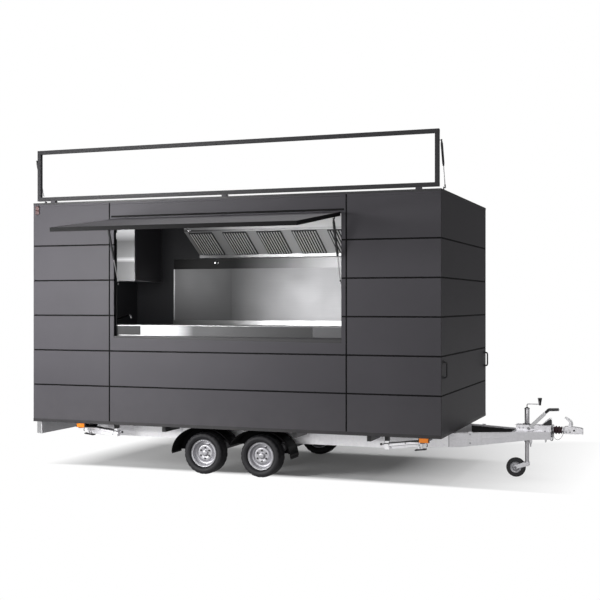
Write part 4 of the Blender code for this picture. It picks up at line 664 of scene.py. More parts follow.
@dataclass(frozen=True)
class Finishes:
    """The finishes of this trailer."""

    cladding: Finish = Cladding("cladding", (0.077, 0.0735, 0.0825), 0.46, specular=0.15, edge=0.004)
    # Painted shade: a darker copy of the body's cladding, for the flap's top face.
    shaded_flap_cladding: Finish = Cladding("flap_cladding", (0.055, 0.0525, 0.059), 0.5, specular=0.12, edge=0.004)
    trim: Finish = Paint("dark_trim", (0.022, 0.021, 0.024), 0.42, specular=0.35)
    black: Finish = Paint("black_powder_coat", (0.017, 0.017, 0.019), 0.42, dust=0.1)
    frame_paint: Finish = Paint("sign_frame_paint", (0.02, 0.0195, 0.022), 0.5, specular=0.3, dust=0.0)
    # The chassis zinc, with painted shade on the outriggers.
    frame_zinc: Finish = ShadedZinc("frame_zinc", (0.98, 0.97, 1.0), 0.34, 0.9)
    zinc: Finish = Galvanised("galvanised", (0.92, 0.91, 0.94), 0.36, 0.65)
    tube_zinc: Finish = Galvanised("tube_zinc", (0.62, 0.61, 0.63), 0.38, 0.7)
    dull_zinc: Finish = Galvanised("weathered_zinc", (0.3, 0.295, 0.31), 0.55, 0.65)
    fastener: Finish = Galvanised("zinc_fastener", (0.5, 0.5, 0.52), 0.34, 0.85, spangle=400.0)
    bright: Finish = Brushed("polished_steel", (0.74, 0.74, 0.75), 0.2, 1.0, grain=Grain.UPRIGHT)
    steel: Finish = Brushed("brushed_steel", (0.6, 0.6, 0.61), 0.33, 1.0)
    # Painted light and shade: the splashback, hood, worktop, gutter and filter slats are lighter or darker
    # along the trailer.
    splash_steel: Finish = LightRampSteel("splash_steel", (0.24, 0.24, 0.245), 0.5, 1.0, grain=Grain.ALONG,
        reach=(-1.695, 2.225), light_shares=((0, 0.55), (0.2, 0.42), (0.33, 0.7), (0.5, 1), (1, 0.8)))
    hood_steel: Finish = LightRampSteel("hood_steel", (0.62, 0.62, 0.625), 0.42, 0.3, reach=(-1.235, 2.225),
        light_shares=((0, 0.35), (0.25, 0.75), (0.5, 1), (1, 1.1)))
    worktop: Finish = LightRampSteel("worktop_steel", (0.52, 0.52, 0.525), 0.34, 1.0, reach=(-1.7, 1.2),
        light_shares=((0, 0.3), (0.3, 0.55), (0.6, 0.9), (1, 1)))
    gutter_steel: Finish = LightRampSteel("gutter_steel", (0.62, 0.62, 0.63), 0.3, 0.75, reach=(-1.235, 2.225),
        light_shares=((0, 0.2), (0.3, 0.32), (0.52, 0.85), (1, 1)))
    light_steel: Finish = Brushed("light_steel", (0.62, 0.62, 0.63), 0.3, 0.75)
    # Painted shade: stainless made near black, for the filter frames and the apron's front end.
    shaded_steel: Finish = Brushed("shaded_steel", (0.085, 0.085, 0.088), 0.46, 0.9)
    slat: Finish = LightRampSteel("filter_steel", (0.92, 0.92, 0.93), 0.36, 0.4, reach=(-1.235, 2.225),
        light_shares=((0, 0.8), (0.5, 0.9), (1, 1)))
    # Near black: painted shade in the filter gaps, the splashback's dark joints, and a dark panel at the
    # apron's rear end.
    shade_and_joint_black: Finish = Paint("filter_shadow", (0.01, 0.01, 0.011), 0.6, dust=0.0)
    charcoal: Finish = Paint("charcoal_panel", (0.024, 0.023, 0.027), 0.5, dust=0.0)
    # Painted shadow: the band is near black at its rear end and lighter towards the front.
    shadowed_band: Finish = LightRampSteel("band_steel", (0.36, 0.36, 0.365), 0.44, 0.9, reach=(-1.695, 2.225),
        light_shares=((0, 0.015), (0.22, 0.05), (0.4, 0.3), (0.56, 0.8), (1, 0.9)))
    # Painted light and shade: the apron panel is lighter at its rear end and near black towards the front.
    shaded_apron: Finish = LightRampSteel("apron_steel", (0.46, 0.46, 0.47), 0.5, 0.85, reach=(-0.98, 0.96),
        light_shares=((0, 0.8), (0.22, 0.62), (0.32, 0.12), (1, 0.1)))
    # Painted highlights: bright bands across the cabinet front and a bright top.
    cabinet_face: Finish = LightRampSteel("cabinet_steel", (0.58, 0.58, 0.59), 0.42, 0.35, axis=2,
        reach=(2.068, 2.848), light_shares=((0, 0.42), (0.29, 0.4), (0.335, 1.15), (0.38, 0.5), (0.62, 0.38),
        (0.78, 1.7), (1, 1.7)))
    upright_steel: Finish = Brushed("upright_steel", (0.62, 0.62, 0.63), 0.32, 1.0, grain=Grain.UPRIGHT)
    tyre: Finish = Rubber("tyre_rubber", (0.013, 0.0125, 0.015), 0.62, specular=0.4)
    soft: Finish = Rubber("soft_rubber", (0.014, 0.013, 0.015), 0.55)
    boot: Finish = Rubber("boot_rubber", (0.04, 0.014, 0.02), 0.45)
    rim: Finish = Galvanised("rim_silver", (0.47, 0.465, 0.49), 0.38, 0.55, spangle=160.0)
    guard: Finish = Moulded("guard_plastic", (0.0022, 0.0021, 0.0026), 0.6, specular=0.12)
    knob: Finish = Moulded("black_plastic", (0.012, 0.012, 0.013), 0.34)
    pale: Finish = Moulded("white_plastic", (0.72, 0.72, 0.73), 0.4)
    red_dim: Finish = Lens("dark_red_lens", (0.07, 0.01, 0.01), 0.32, glow=0.0)
    amber: Finish = Lens("amber_lens", (0.95, 0.26, 0.012), 0.12, glow=0.25)
    red: Finish = Lens("red_lens", (0.5, 0.018, 0.016), 0.12, glow=0.1)
    clear: Finish = Lens("clear_lens", (0.8, 0.8, 0.82), 0.1, glow=0.12)
    deck: Finish = Deck("floor_sheet", (0.05, 0.05, 0.054), 0.62)
    cable: Finish = Moulded("cable_coat", (0.035, 0.035, 0.037), 0.38)
    light_strip: Finish = Lens("light_strip", (0.92, 0.92, 0.9), 0.2, glow=0.6)


F = Finishes()


class Mesher:
    """Collects plain solids in trailer coordinates and turns them into one dressed piece."""

    def __init__(self) -> None:
        """Start an empty mesh."""
        self.bm = bmesh.new()

    def box(self, low: Point, high: Point) -> None:
        """Add a box.

        Args:
            low: one corner.
            high: the opposite corner.
        """
        size = [abs(b - a) for a, b in zip(low, high)]
        centre = [(a + b) / 2 for a, b in zip(low, high)]
        matrix = Matrix.Translation(centre) @ Matrix.Diagonal((*size, 1.0))
        bmesh.ops.create_cube(self.bm, size=1.0, matrix=matrix)

    def bar(self, start: Point, end: Point, radius: float, sides: int = 20,
            tip: Optional[float] = None) -> None:
        """Add a round bar or cone.

        Args:
            start: the first end.
            end: the other end.
            radius: its radius, or that of the first end.
            sides: facets.
            tip: the radius of the other end.
        """
        a, b = Vector(start), Vector(end)
        turn = (b - a).to_track_quat("Z", "Y").to_matrix().to_4x4()
        bmesh.ops.create_cone(self.bm, cap_ends=True, segments=sides, radius1=radius,
            radius2=radius if tip is None else tip, depth=(b - a).length,
            matrix=Matrix.Translation((a + b) / 2) @ turn)

    def ball(self, centre: Point, radius: float) -> None:
        """Add a small ball."""
        bmesh.ops.create_uvsphere(self.bm, u_segments=18, v_segments=10, radius=radius,
            matrix=Matrix.Translation(centre))

    def prism(self, outline: Sequence[Pair], low: float, high: float, axis: Axis = Axis.Z) -> None:
        """Add a flat outline made thick.

        Args:
            outline: the points in the plane across the axis.
            low: where the thickness starts.
            high: where it ends.
            axis: the way of the thickness.
        """
        rings = [[self.bm.verts.new([(u, v, level)[place] for place in axis.value]) for u,
            v in outline] for level in (low, high)]
        for ring in rings:
            self.bm.faces.new(ring)
        self.bridge(rings)

    def bridge(self, rings: Sequence[list], closed: bool = False) -> None:
        """Join each ring of corners to the next with faces.

        Args:
            rings: rings of equally many corners.
            closed: whether the last joins the first.
        """
        following = rings[1:] + rings[:1] if closed else rings[1:]
        for first, second in zip(rings, following):
            for step in range(len(first)):
                after = (step + 1) % len(first)
                corners = dict.fromkeys((first[step], first[after], second[after], second[step]))
                if len(corners) > 2:
                    self.bm.faces.new(tuple(corners))

    def slab(self, spot: Spot, along: Pair, depth: Pair, x: Pair) -> None:
        """Add a block on a sloping plane.

        Args:
            spot: gives Y and Z from the distances along the plane and off it.
            along: from and to, along the plane.
            depth: from and to, off it.
            x: from and to, along the trailer.
        """
        corners = [spot(along[0], depth[0]), spot(along[1], depth[0]), spot(along[1], depth[1]),
            spot(along[0], depth[1])]
        self.prism(corners, x[0], x[1], Axis.X)

    def turned(self, profile: Sequence[Pair], place: Point, outward: Point, sides: int = 32,
            closed: bool = False, dent: Optional[Callable[[int, int], float]] = None) -> None:
        """Turn a profile of (radius, height) about an axis.

        Args:
            profile: the points, with height along outward.
            place: the origin of the profile.
            outward: the axis.
            sides: facets.
            closed: whether the last point joins the first.
            dent: a function of facet number and point number that gives a change of radius.
        """
        turn = Vector(outward).to_track_quat("Z", "Y").to_matrix()
        base = Vector(place)
        rings = []
        for number, (radius, height) in enumerate(profile):
            if radius <= 0.0:
                rings.append([self.bm.verts.new(base + turn @ Vector((0.0, 0.0, height)))] * sides)
                continue
            ring = []
            for side in range(sides):
                angle = 2 * pi * side / sides
                reach = radius + (dent(side, number) if dent else 0.0)
                ring.append(self.bm.verts.new(base + turn @ Vector((reach * cos(angle), reach * sin(angle),
                    height))))
            rings.append(ring)
        self.bridge(rings, closed)

    def tube(self, points: Sequence[Point], radius: Union[float, Sequence[float]], sides: int = 12,
            steps: int = 1) -> None:
        """Sweep a round section along points.

        Args:
            points: the path.
            radius: one radius, or one for each point.
            sides: facets.
            steps: how finely a smooth path is laid through the points; 1 keeps them as they are.
        """
        path = [Vector(p) for p in points]
        radii = list(radius) if isinstance(radius, (list, tuple)) else [radius] * len(path)
        if steps > 1:
            path, radii = smooth_path(path, steps), smooth_values(radii, steps)
        rings = []
        up = Vector((0.0, 0.0, 1.0))
        for i, point in enumerate(path):
            ahead = path[min(i + 1, len(path) - 1)] - path[max(i - 1, 0)]
            ahead.normalize()
            if i == 0:
                side = ahead.cross(up if abs(ahead.z) < 0.95 else Vector((0.0, 1.0, 0.0))).normalized()
            else:
                side = (side - ahead * side.dot(ahead)).normalized()
            over = ahead.cross(side)
            ring = []
            for step in range(sides):
                angle = 2 * pi * step / sides
                ring.append(self.bm.verts.new(point + (side * cos(angle) + over * sin(angle)) * radii[i]))
            rings.append(ring)
        self.bridge(rings)
        self.bm.faces.new(rings[0])
        self.bm.faces.new(rings[-1])

    def bolt(self, place: Point, outward: Point, size: float = 0.008, washer: bool = True) -> None:
        """Add a hexagon bolt head on a washer.

        Args:
            place: the point on the surface.
            outward: the surface's way out.
            size: half the width of the head.
            washer: whether it has a washer.
        """
        base, out = Vector(place), Vector(outward).normalized()
        if washer:
            self.bar(base - out * 0.0005, base + out * size * 0.22, size * 1.55, 18)
        self.bar(base, base + out * size * 0.95, size, 6)
        self.bar(base + out * size * 0.9, base + out * size * 1.08, size * 0.8, 12, size * 0.55)

    def rivet(self, place: Point, outward: Point, size: float = 0.005) -> None:
        """Add a low domed rivet on a surface, along its way out."""
        profile = [(size, -0.0005), (size, size * 0.16), (size * 0.75, size * 0.42), (0.0, size * 0.55)]
        self.turned(profile, place, outward, 14)

    def piece(self, name: str, finish: Finish, body: str = ROOT, bevel: float = 0.0,
            angle: float = 35.0) -> bpy.types.Object:
        """Make the piece from what was collected, and start an empty mesh for the next.

        Args:
            name: the piece's name.
            finish: its finish.
            body: the CAD body that it rides on.
            bevel: the width of a bevel on its sharp edges.
            angle: the angle from which an edge stays sharp, in degrees.

        Returns:
            The object.
        """
        bmesh.ops.recalc_face_normals(self.bm, faces=self.bm.faces)
        mesh = bpy.data.meshes.new(name)
        self.bm.to_mesh(mesh)
        self.bm.free()
        self.bm = bmesh.new()
        mesh.transform(Matrix.Translation(ORIGIN))
        obj = bpy.data.objects.new(name, mesh)
        bpy.context.scene.collection.objects.link(obj)
        mesh.materials.append(Made.of(finish))
        mesh.shade_smooth()
        mesh.set_sharp_from_angle(angle=radians(angle))
        if bevel:
            modifier = obj.modifiers.new("edges", "BEVEL")
            modifier.width = bevel
            modifier.segments = 2
            modifier.limit_method = "ANGLE"
            modifier.angle_limit = radians(angle)
        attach(obj, body)
        LOG.info("piece %s on %s", name, body)
        return obj


def smooth_path(points: Sequence[Vector], steps: int) -> list[Vector]:
    """A Catmull-Rom path through points.

    Args:
        points: the points.
        steps: parts for each span.

    Returns:
        The denser points.
    """
    padded = [points[0] * 2 - points[1], *points, points[-1] * 2 - points[-2]]
    path = []
    for a, b, c, d in zip(padded, padded[1:], padded[2:], padded[3:]):
        for step in range(steps):
            t = step / steps
            path.append(0.5
                * ((2 * b) + (c - a) * t + (2 * a - 5 * b + 4 * c - d) * t * t + (3 * b - a - 3 * c + d)
                * t ** 3))
    path.append(points[-1])
    return path


def smooth_values(values: Sequence[float], steps: int) -> list[float]:
    """Numbers spread over the denser points of smooth_path.

    Args:
        values: one number for each point.
        steps: parts for each span.

    Returns:
        One number for each denser point.
    """
    spread = []
    for first, second in zip(values, values[1:]):
        spread += [first + (second - first) * step / steps for step in range(steps)]
    return [*spread, values[-1]]


@dataclass
class Studio:
    """The camera at the photograph's angle, soft lights, white surroundings and a pale floor."""

    camera_place: Point = (4.5624, -11.2633, 1.7976)
    azimuth: float = 20.2
    lens: float = 64.77
    shift_y: float = 0.005
    fill: float = 0.14
    back_room: float = 0.16
    floor_bounce: Color = (0.15, 0.15, 0.153)
    floor_color: Color = (0.86, 0.86, 0.865)
    floor_mirror: float = 0.42
    floor_left_shadow: float = 0.52
    floor_radius: float = 60.0
    shade_low: tuple = (0.3, 0.05, -1.5, 0.3)
    shade_near: tuple = (1.0, 0.0, -0.9, -0.7)
    shade_far: tuple = (0.0, 1.0, 1.9, 3.2)
    shade_rear: tuple = (1.0, 0.0, -2.3, -1.5)
    shade_front: tuple = (0.0, 1.0, 1.3, 3.5)

    def camera(self) -> None:
        """Make the camera."""
        data = bpy.data.cameras.new("camera")
        data.lens = self.lens
        data.sensor_width = 36.0
        data.shift_y = self.shift_y
        data.clip_end = 200.0
        obj = bpy.data.objects.new("camera", data)
        bpy.context.scene.collection.objects.link(obj)
        obj.location = Vector(self.camera_place) + ORIGIN
        obj.rotation_euler = (radians(90.0), 0.0, radians(self.azimuth))
        bpy.context.scene.camera = obj

    def world(self) -> None:
        """White where the camera, metal and glass look, and a soft grey fill for the rest."""
        world = bpy.data.worlds.new("surroundings")
        bpy.context.scene.world = world
        world.use_nodes = True
        world.node_tree.nodes.clear()
        nodes = Nodes(world.node_tree, "Generated")
        rays = nodes.node("ShaderNodeLightPath").outputs
        seen = nodes.math("MAXIMUM", rays["Is Camera Ray"], rays["Is Transmission Ray"])
        shiny = nodes.math("MAXIMUM", seen, rays["Is Glossy Ray"])
        room = nodes.span(nodes.axes()[1], 1.0, self.back_room, -0.5, 0.4)
        soft, white = nodes.node("ShaderNodeBackground"), nodes.node("ShaderNodeBackground")
        for glow, strength in ((soft, self.fill), (white, nodes.math("MAXIMUM", room, seen))):
            nodes.feed(glow.inputs["Color"], (1.0, 1.0, 1.0))
            nodes.feed(glow.inputs["Strength"], strength)
        out = nodes.node("ShaderNodeOutputWorld")
        nodes.feed(out.inputs[0], nodes.mix(shiny, soft, white))

    def lamp(self, name: str, place: Point, target: Point, size: Pair, power: float) -> None:
        """Add a soft area light that the camera doesn't see.

        Args:
            name: its name.
            place: where it stands, in trailer coordinates.
            target: the point that it faces.
            size: its width and height.
            power: its power in watts.
        """
        data = bpy.data.lights.new(name, "AREA")
        data.shape = "RECTANGLE"
        data.size, data.size_y = size
        data.energy = power
        obj = bpy.data.objects.new(name, data)
        bpy.context.scene.collection.objects.link(obj)
        obj.visible_camera = False
        obj.location = Vector(place) + ORIGIN
        way = Vector(target) - Vector(place)
        obj.rotation_euler = way.to_track_quat("-Z", "Y").to_euler()

    def lights(self) -> None:
        """The key light at the left, a ceiling of soft light and a weak fill."""
        self.lamp("key", (-2.85, -4.9, 2.3), (-1.2, -0.6, 1.5), (2.0, 1.8), 262.0)
        self.lamp("ceiling", (-0.2, 1.3, 7.0), (-0.2, 0.9, 0.0), (6.5, 5.0), 400.0)
        self.lamp("galley", (0.2, -0.62, 1.72), (0.2, 0.62, 2.55), (3.4, 0.22), 15.0)
        self.lamp("corner", (-1.95, -0.42, 2.15), (-2.05, 0.4, 2.5), (0.35, 0.35), 9.0)
        self.lamp("front_fill", (2.6, -9.5, 2.6), (0.8, 0.0, 1.2), (5.0, 3.0), 120.0)

    def floor(self) -> None:
        """A pale matt floor that fades to the white of the surroundings. Painted shadow: its colour seen by
        the camera is darker towards the left, and the edges of the cast shadow and a slight lift inside it
        are painted by where its white glow is held back.
        """
        bm = bmesh.new()
        bmesh.ops.create_circle(bm, cap_ends=True, segments=96, radius=self.floor_radius)
        mesh = bpy.data.meshes.new("floor")
        bm.to_mesh(mesh)
        bm.free()
        obj = bpy.data.objects.new("floor", mesh)
        bpy.context.scene.collection.objects.link(obj)
        graph = Graph("studio_floor")
        rays = graph.node("ShaderNodeLightPath").outputs
        x, y, _ = graph.axes()
        x = graph.math("SUBTRACT", x, ORIGIN.x)
        y = graph.math("SUBTRACT", y, ORIGIN.y)
        # Painted shadow: the floor's colour seen by the camera is darker towards the left.
        left = tuple(share * self.floor_left_shadow for share in self.floor_color)
        seen_color = graph.blend(graph.span(x, 0.0, 1.0, -0.9, 1.1), left, self.floor_color)
        shown = graph.blend(rays["Is Camera Ray"], self.floor_bounce, seen_color)
        graph.set(Base_Color=shown, Roughness=0.9, Specular_IOR_Level=0.1)
        # Painted light and shade: these lines set where the white glow lifts the floor, which paints the
        # edges of the cast shadow; shade_low lifts it a little under the trailer.
        far = graph.span(x, *self.shade_low)
        for line, value in ((self.shade_near, y), (self.shade_far, y), (self.shade_rear, x),
                (self.shade_front, x)):
            far = graph.math("MAXIMUM", far, graph.span(value, *line))
        white = graph.node("ShaderNodeEmission")
        mirrored = graph.math("MULTIPLY", rays["Is Glossy Ray"], self.floor_mirror)
        seen = graph.math("MAXIMUM", rays["Is Camera Ray"], rays["Is Transmission Ray"])
        strength = graph.math("MULTIPLY", far, graph.math("MAXIMUM", seen, mirrored))
        out = graph.tree.nodes["Material Output"]
        graph.feed(out.inputs["Surface"], graph.mix(strength, graph.shader, white))
        mesh.materials.append(graph.material)

    def view(self) -> None:
        """Plain colour management."""
        bpy.context.scene.view_settings.view_transform = "Standard"


@dataclass
class BreakawayCable:
    """The safety cable that hangs in a loop between the housing and the coupling head."""

    diameter: float = 0.004
    start: Point = (3.1783, -0.02, 0.439)
    end_x: float = 3.2947
    route: tuple = ((0.005, -0.02, 0.0), (0.01, -0.021, -0.006), (0.017, -0.022, -0.016),
        (0.025, -0.023, -0.027), (0.036, -0.024, -0.034), (0.05, -0.024, -0.036), (0.064, -0.024, -0.031),
        (0.076, -0.024, -0.021), (0.087, -0.023, -0.007), (0.096, -0.022, 0.009), (0.103, -0.021, 0.025),
        (0.109, -0.02, 0.034))

    def path(self) -> list[Vector]:
        """The points that the CAD tube follows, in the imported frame.

        Returns:
            The points.
        """
        x0, _, z0 = self.start
        points = [Vector(self.start)]
        points += [Vector((x0 + x, y, z0 + z)) for x, y, z in self.route]
        points.append(Vector((self.end_x, -0.02, z0 + 0.034)))
        return [p + ORIGIN for p in points]

    def build(self) -> None:
        points = smooth_path(self.path(), 4)
        mesher = Mesher()
        mesher.tube([p - ORIGIN for p in points], self.diameter / 2, 12)
        wire = mesher.piece("breakaway_wire", F.cable)
        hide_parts("breakaway_cable")


@dataclass
class Body:
    """Seams, seals, edge strips and the marker lamps of the box body."""

    strip: float = 0.0015
    seal: float = 0.012
    roof_rim: float = 0.022
    lamp_width: float = 0.044
    lamp_height: float = 0.088
    lamp_z: float = 2.812
    door: tuple = (-0.334, 0.434, 0.536, 2.424)
    hinges: tuple = (0.12, 0.5, 0.88)
    seam_half: float = 0.0036
    seam_shade_depth: Pair = (0.0055, 0.0035)

    def seams(self) -> None:
        """Lay a black strip at the bottom of every cladding seam, painted shade for the groove."""
        m = Mesher()
        half, (deep, shallow) = self.seam_half, self.seam_shade_depth
        for z in SEAM_HEIGHTS:
            low, high = z - half, z + half
            crossing = HATCH_SILL < z < HATCH_TOP
            for side in (-1, 1):
                y = (side * (Y_SIDE - deep), side * (Y_SIDE - shallow))
                runs = [(X_REAR, X_FRONT)]
                if side < 0 and crossing:
                    runs = [(X_REAR, -HATCH_X - 0.002), (HATCH_X + 0.002, X_FRONT)]
                for start, end in runs:
                    m.box((start, y[0], low), (end, y[1], high))
            m.box((X_FRONT - deep, -Y_SIDE, low), (X_FRONT - shallow, Y_SIDE, high))
            m.box((X_REAR + shallow, -Y_SIDE, low), (X_REAR + deep, self.door[0] - 0.004, high))
            m.box((X_REAR + shallow, self.door[1] + 0.004, low), (X_REAR + deep, Y_SIDE, high))
        for side in (-1, 1):
            y = (side * (Y_SIDE - deep), side * (Y_SIDE - shallow))
            for x in (-COLUMN_X, COLUMN_X):
                m.box((x - half, y[0], Z_FLOOR + 0.002), (x + half, y[1], Z_CEILING - 0.002))
        m.piece("cladding_seam_shade", F.guard)
        for z in SEAM_HEIGHTS:
            m.box((X_REAR + shallow, self.door[0] + 0.002, z - half), (X_REAR + deep, self.door[1] - 0.002,
                z + half))
        m.piece("door_seam_shade", F.soft, "rear_door")

    def edges(self) -> None:
        """Add the black strips along the roof's edge and under the walls, with their rivets."""
        m = Mesher()
        t, rim = self.strip, self.roof_rim
        for side in (-1, 1):
            y = (side * (Y_SIDE - 0.001), side * (Y_SIDE + t))
            m.box((X_REAR - t, y[0], Z_TOP - rim), (X_FRONT + t, y[1], Z_TOP + t))
            m.box((X_REAR - t, y[0], Z_BASE + 0.0005), (X_FRONT + t, y[1], Z_FLOOR + 0.004))
        for end in (-1, 1):
            x = (end * (X_FRONT - 0.001), end * (X_FRONT + t))
            m.box((x[0], -Y_SIDE, Z_TOP - rim), (x[1], Y_SIDE, Z_TOP + t))
            if end > 0:
                m.box((x[0], -Y_SIDE, Z_BASE + 0.0005), (x[1], Y_SIDE, Z_FLOOR + 0.004))
        m.box((X_REAR - t, -Y_SIDE, Z_TOP - 0.0005), (X_FRONT + t, -Y_SIDE + 0.018, Z_TOP + t))
        m.box((X_REAR - t, Y_SIDE - 0.018, Z_TOP - 0.0005), (X_FRONT + t, Y_SIDE, Z_TOP + t))
        m.piece("edge_strips", F.trim, bevel=0.0006)
        for step in range(20):
            x = X_REAR + 0.12 + step * 0.2268
            for side in (-1, 1):
                m.rivet((x, side * (Y_SIDE + t), Z_BASE + 0.017), (0, side, 0), 0.0042)
        for step in range(10):
            y = -Y_SIDE + 0.12 + step * 0.2289
            m.rivet((X_FRONT + t, y, Z_BASE + 0.017), (1, 0, 0), 0.0042)
        m.piece("edge_rivets", F.black)

    def roof(self) -> None:
        """Add the roof's sealed joints and a low vent."""
        m = Mesher()
        for x in (-1.137, 0, 1.137):
            m.prism([(x - 0.03, Z_TOP - 0.0005), (x + 0.03, Z_TOP - 0.0005), (x + 0.022, Z_TOP + 0.0022),
                (x - 0.022, Z_TOP + 0.0022)], -1.02, 1.12, Axis.Y)
        m.piece("roof_joints", F.trim)
        m.turned([(0, 0.03), (0.11, 0.026), (0.135, 0.016), (0.14, 0.004), (0.165, 0.003), (0.165, -0.0005),
            (0, -0.0005)], (0.85, 0.62, Z_TOP), (0, 0, 1), 48)
        for step in range(12):
            angle = radians(30 * step)
            m.rivet((0.85 + 0.152 * cos(angle), 0.62 + 0.152 * sin(angle), Z_TOP + 0.003), (0, 0, 1))
        m.piece("roof_vent", F.black)

    def hatch_seal(self) -> None:
        """Line the hatch with a bulb seal, a drip strip over it and a sill plate."""
        m = Mesher()
        low, high = -1.1035, -1.1003
        x, s = HATCH_X, self.seal
        for start, end in ((HATCH_SILL, HATCH_TOP - 0.215), (HATCH_TOP - 0.145, HATCH_TOP)):
            m.box((-x, low, start), (-x + s, high, end))
            m.box((x - s, low, start), (x, high, end))
        m.box((-x, low, HATCH_TOP - s), (x, high, HATCH_TOP))
        m.box((-x, low, HATCH_SILL), (x, high, HATCH_SILL + s * 0.7))
        m.piece("hatch_seal", F.soft, bevel=0.0015)
        m.box((-x - 0.002, -1.1515, HATCH_SILL - 0.012), (x + 0.002, -1.149, HATCH_SILL - 0.0005))
        m.box((-x, -1.1495, HATCH_SILL - 0.0005), (x, -1.107, HATCH_SILL + 0.0012))
        m.piece("hatch_sill", F.trim, bevel=0.0005)
        m.prism([(-x, HATCH_SILL - 0.0008), (x, HATCH_SILL - 0.0008), (x, HATCH_SILL - 0.042),
            (-x, HATCH_SILL - 0.018)], -1.1512, -1.1497, Axis.Y)
        m.piece("hatch_sill_shade", F.soft)
        m.prism([(-1.15, HATCH_TOP + 0.014), (-1.1535, HATCH_TOP + 0.016), (-1.1535, HATCH_TOP + 0.03),
            (-1.1495, HATCH_TOP + 0.034)], -x - 0.03, x + 0.03, Axis.X)
        m.piece("hatch_drip_strip", F.guard)

    def markers(self) -> None:
        """Add the upright marker lamps near the rear top corners."""
        m = Mesher()
        half, tall = self.lamp_width / 2, self.lamp_height / 2
        x = X_REAR + 0.053
        for word, side in SIDES.items():
            y = (side * (Y_SIDE - 0.001), side * (Y_SIDE + 0.005))
            m.box((x - half - 0.004, y[0], self.lamp_z - tall - 0.004), (x + half + 0.004, y[1],
                self.lamp_z + tall + 0.004))
            m.piece("marker_base_" + word, F.knob, bevel=0.002)
            y = (side * (Y_SIDE + 0.001), side * (Y_SIDE + 0.012))
            m.box((x - half, y[0], self.lamp_z - tall * 0.1), (x + half, y[1], self.lamp_z + tall))
            m.piece("marker_upper_" + word, F.red_dim, bevel=0.004)
            m.box((x - half, y[0], self.lamp_z - tall), (x + half, y[1], self.lamp_z - tall * 0.12))
            m.piece("marker_lower_" + word, F.red_dim, bevel=0.004)

    def door_fittings(self) -> None:
        """Add the rear door's seal, lock, hinge bolts and hinge leaves."""
        y0, y1, z0, z1 = self.door
        m = Mesher()
        x = X_REAR
        m.box((x + 0.012, y0 - 0.0045, z0), (x + 0.03, y0 - 0.0015, z1))
        m.box((x + 0.012, y0, z1 + 0.0015), (x + 0.03, y1, z1 + 0.0045))
        m.piece("door_seal", F.soft)
        grip_y, grip_z = y0 + 0.07, Z_FLOOR + 0.95
        m.box((x - 0.004, grip_y - 0.045, grip_z - 0.042), (x + 0.001, grip_y + 0.075, grip_z + 0.042))
        m.piece("door_lock_plate", F.knob, "rear_door", bevel=0.002)
        m.bar((x - 0.0075, grip_y + 0.055, grip_z + 0.026), (x - 0.003, grip_y + 0.055, grip_z + 0.026),
            0.009, 24)
        m.box((x - 0.008, grip_y + 0.0535, grip_z + 0.02), (x - 0.007, grip_y + 0.0565, grip_z + 0.032))
        m.piece("door_lock_barrel", F.bright, "rear_door")
        for share in self.hinges:
            z = z0 + (z1 - z0) * share
            for lift in (-1, 1):
                m.bolt((x - 0.005, y1 - 0.045, z + lift * 0.026), (-1, 0, 0), 0.0045)
                m.bolt((x - 0.005, y1 - 0.02, z + lift * 0.03), (-1, 0, 0), 0.0045)
        m.piece("door_hinge_bolts", F.fastener, "rear_door")
        for share in self.hinges:
            z = z0 + (z1 - z0) * share
            m.box((x - 0.004, y1 + 0.01, z - 0.045), (x + 0.001, y1 + 0.05, z + 0.045))
            for lift in (-1, 1):
                m.bolt((x - 0.004, y1 + 0.03, z + lift * 0.026), (-1, 0, 0), 0.0045)
        m.piece("door_hinge_leaves", F.black, bevel=0.001)

    def lining(self) -> None:
        """Add the kitchen's edge angles, a light bar and a socket strip inside."""
        m = Mesher()
        z = Z_CEILING - 0.0008
        for x in (-1.1, 1.1):
            m.box((x - 0.45, -0.36, z - 0.024), (x + 0.45, -0.3, z))
        m.piece("ceiling_lamps", F.light_strip, bevel=0.006)
        for x in (-2.2247, 2.2247):
            inward = -1 if x > 0 else 1
            low, high = x, x + inward * 0.016
            m.box((low, -1.099, Z_FLOOR + 0.002), (high, -1.083, Z_CEILING - 0.002))
            m.box((low, -1.08, Z_FLOOR + 0.0005), (high, 1, Z_FLOOR + 0.045))
        m.piece("inner_angles", F.upright_steel, bevel=0.001)
        for x in (-1.62, -1.54, -1.46):
            m.box((x - 0.036, 0.4797 - 0.0025, 1.2), (x + 0.036, 0.4797 + 0.0005, 1.272))
            m.bar((x, 0.4797 - 0.004, 1.236), (x, 0.4797 - 0.0024, 1.236), 0.022, 28)
        m.piece("power_sockets", F.pale, bevel=0.0015)

    def build(self) -> None:
        """Dress the body."""
        self.seams()
        self.edges()
        self.roof()
        self.hatch_seal()
        self.markers()
        self.door_fittings()
        self.lining()


def flap_point(out: float, depth: float) -> Pair:
    """Y and Z on the open flap, from the distances out from its hinge and under its outer face."""
    ahead, down = cos(FLAP_DROOP), sin(FLAP_DROOP)
    return -Y_SIDE - out * ahead + depth * down, HATCH_TOP - out * down - depth * ahead


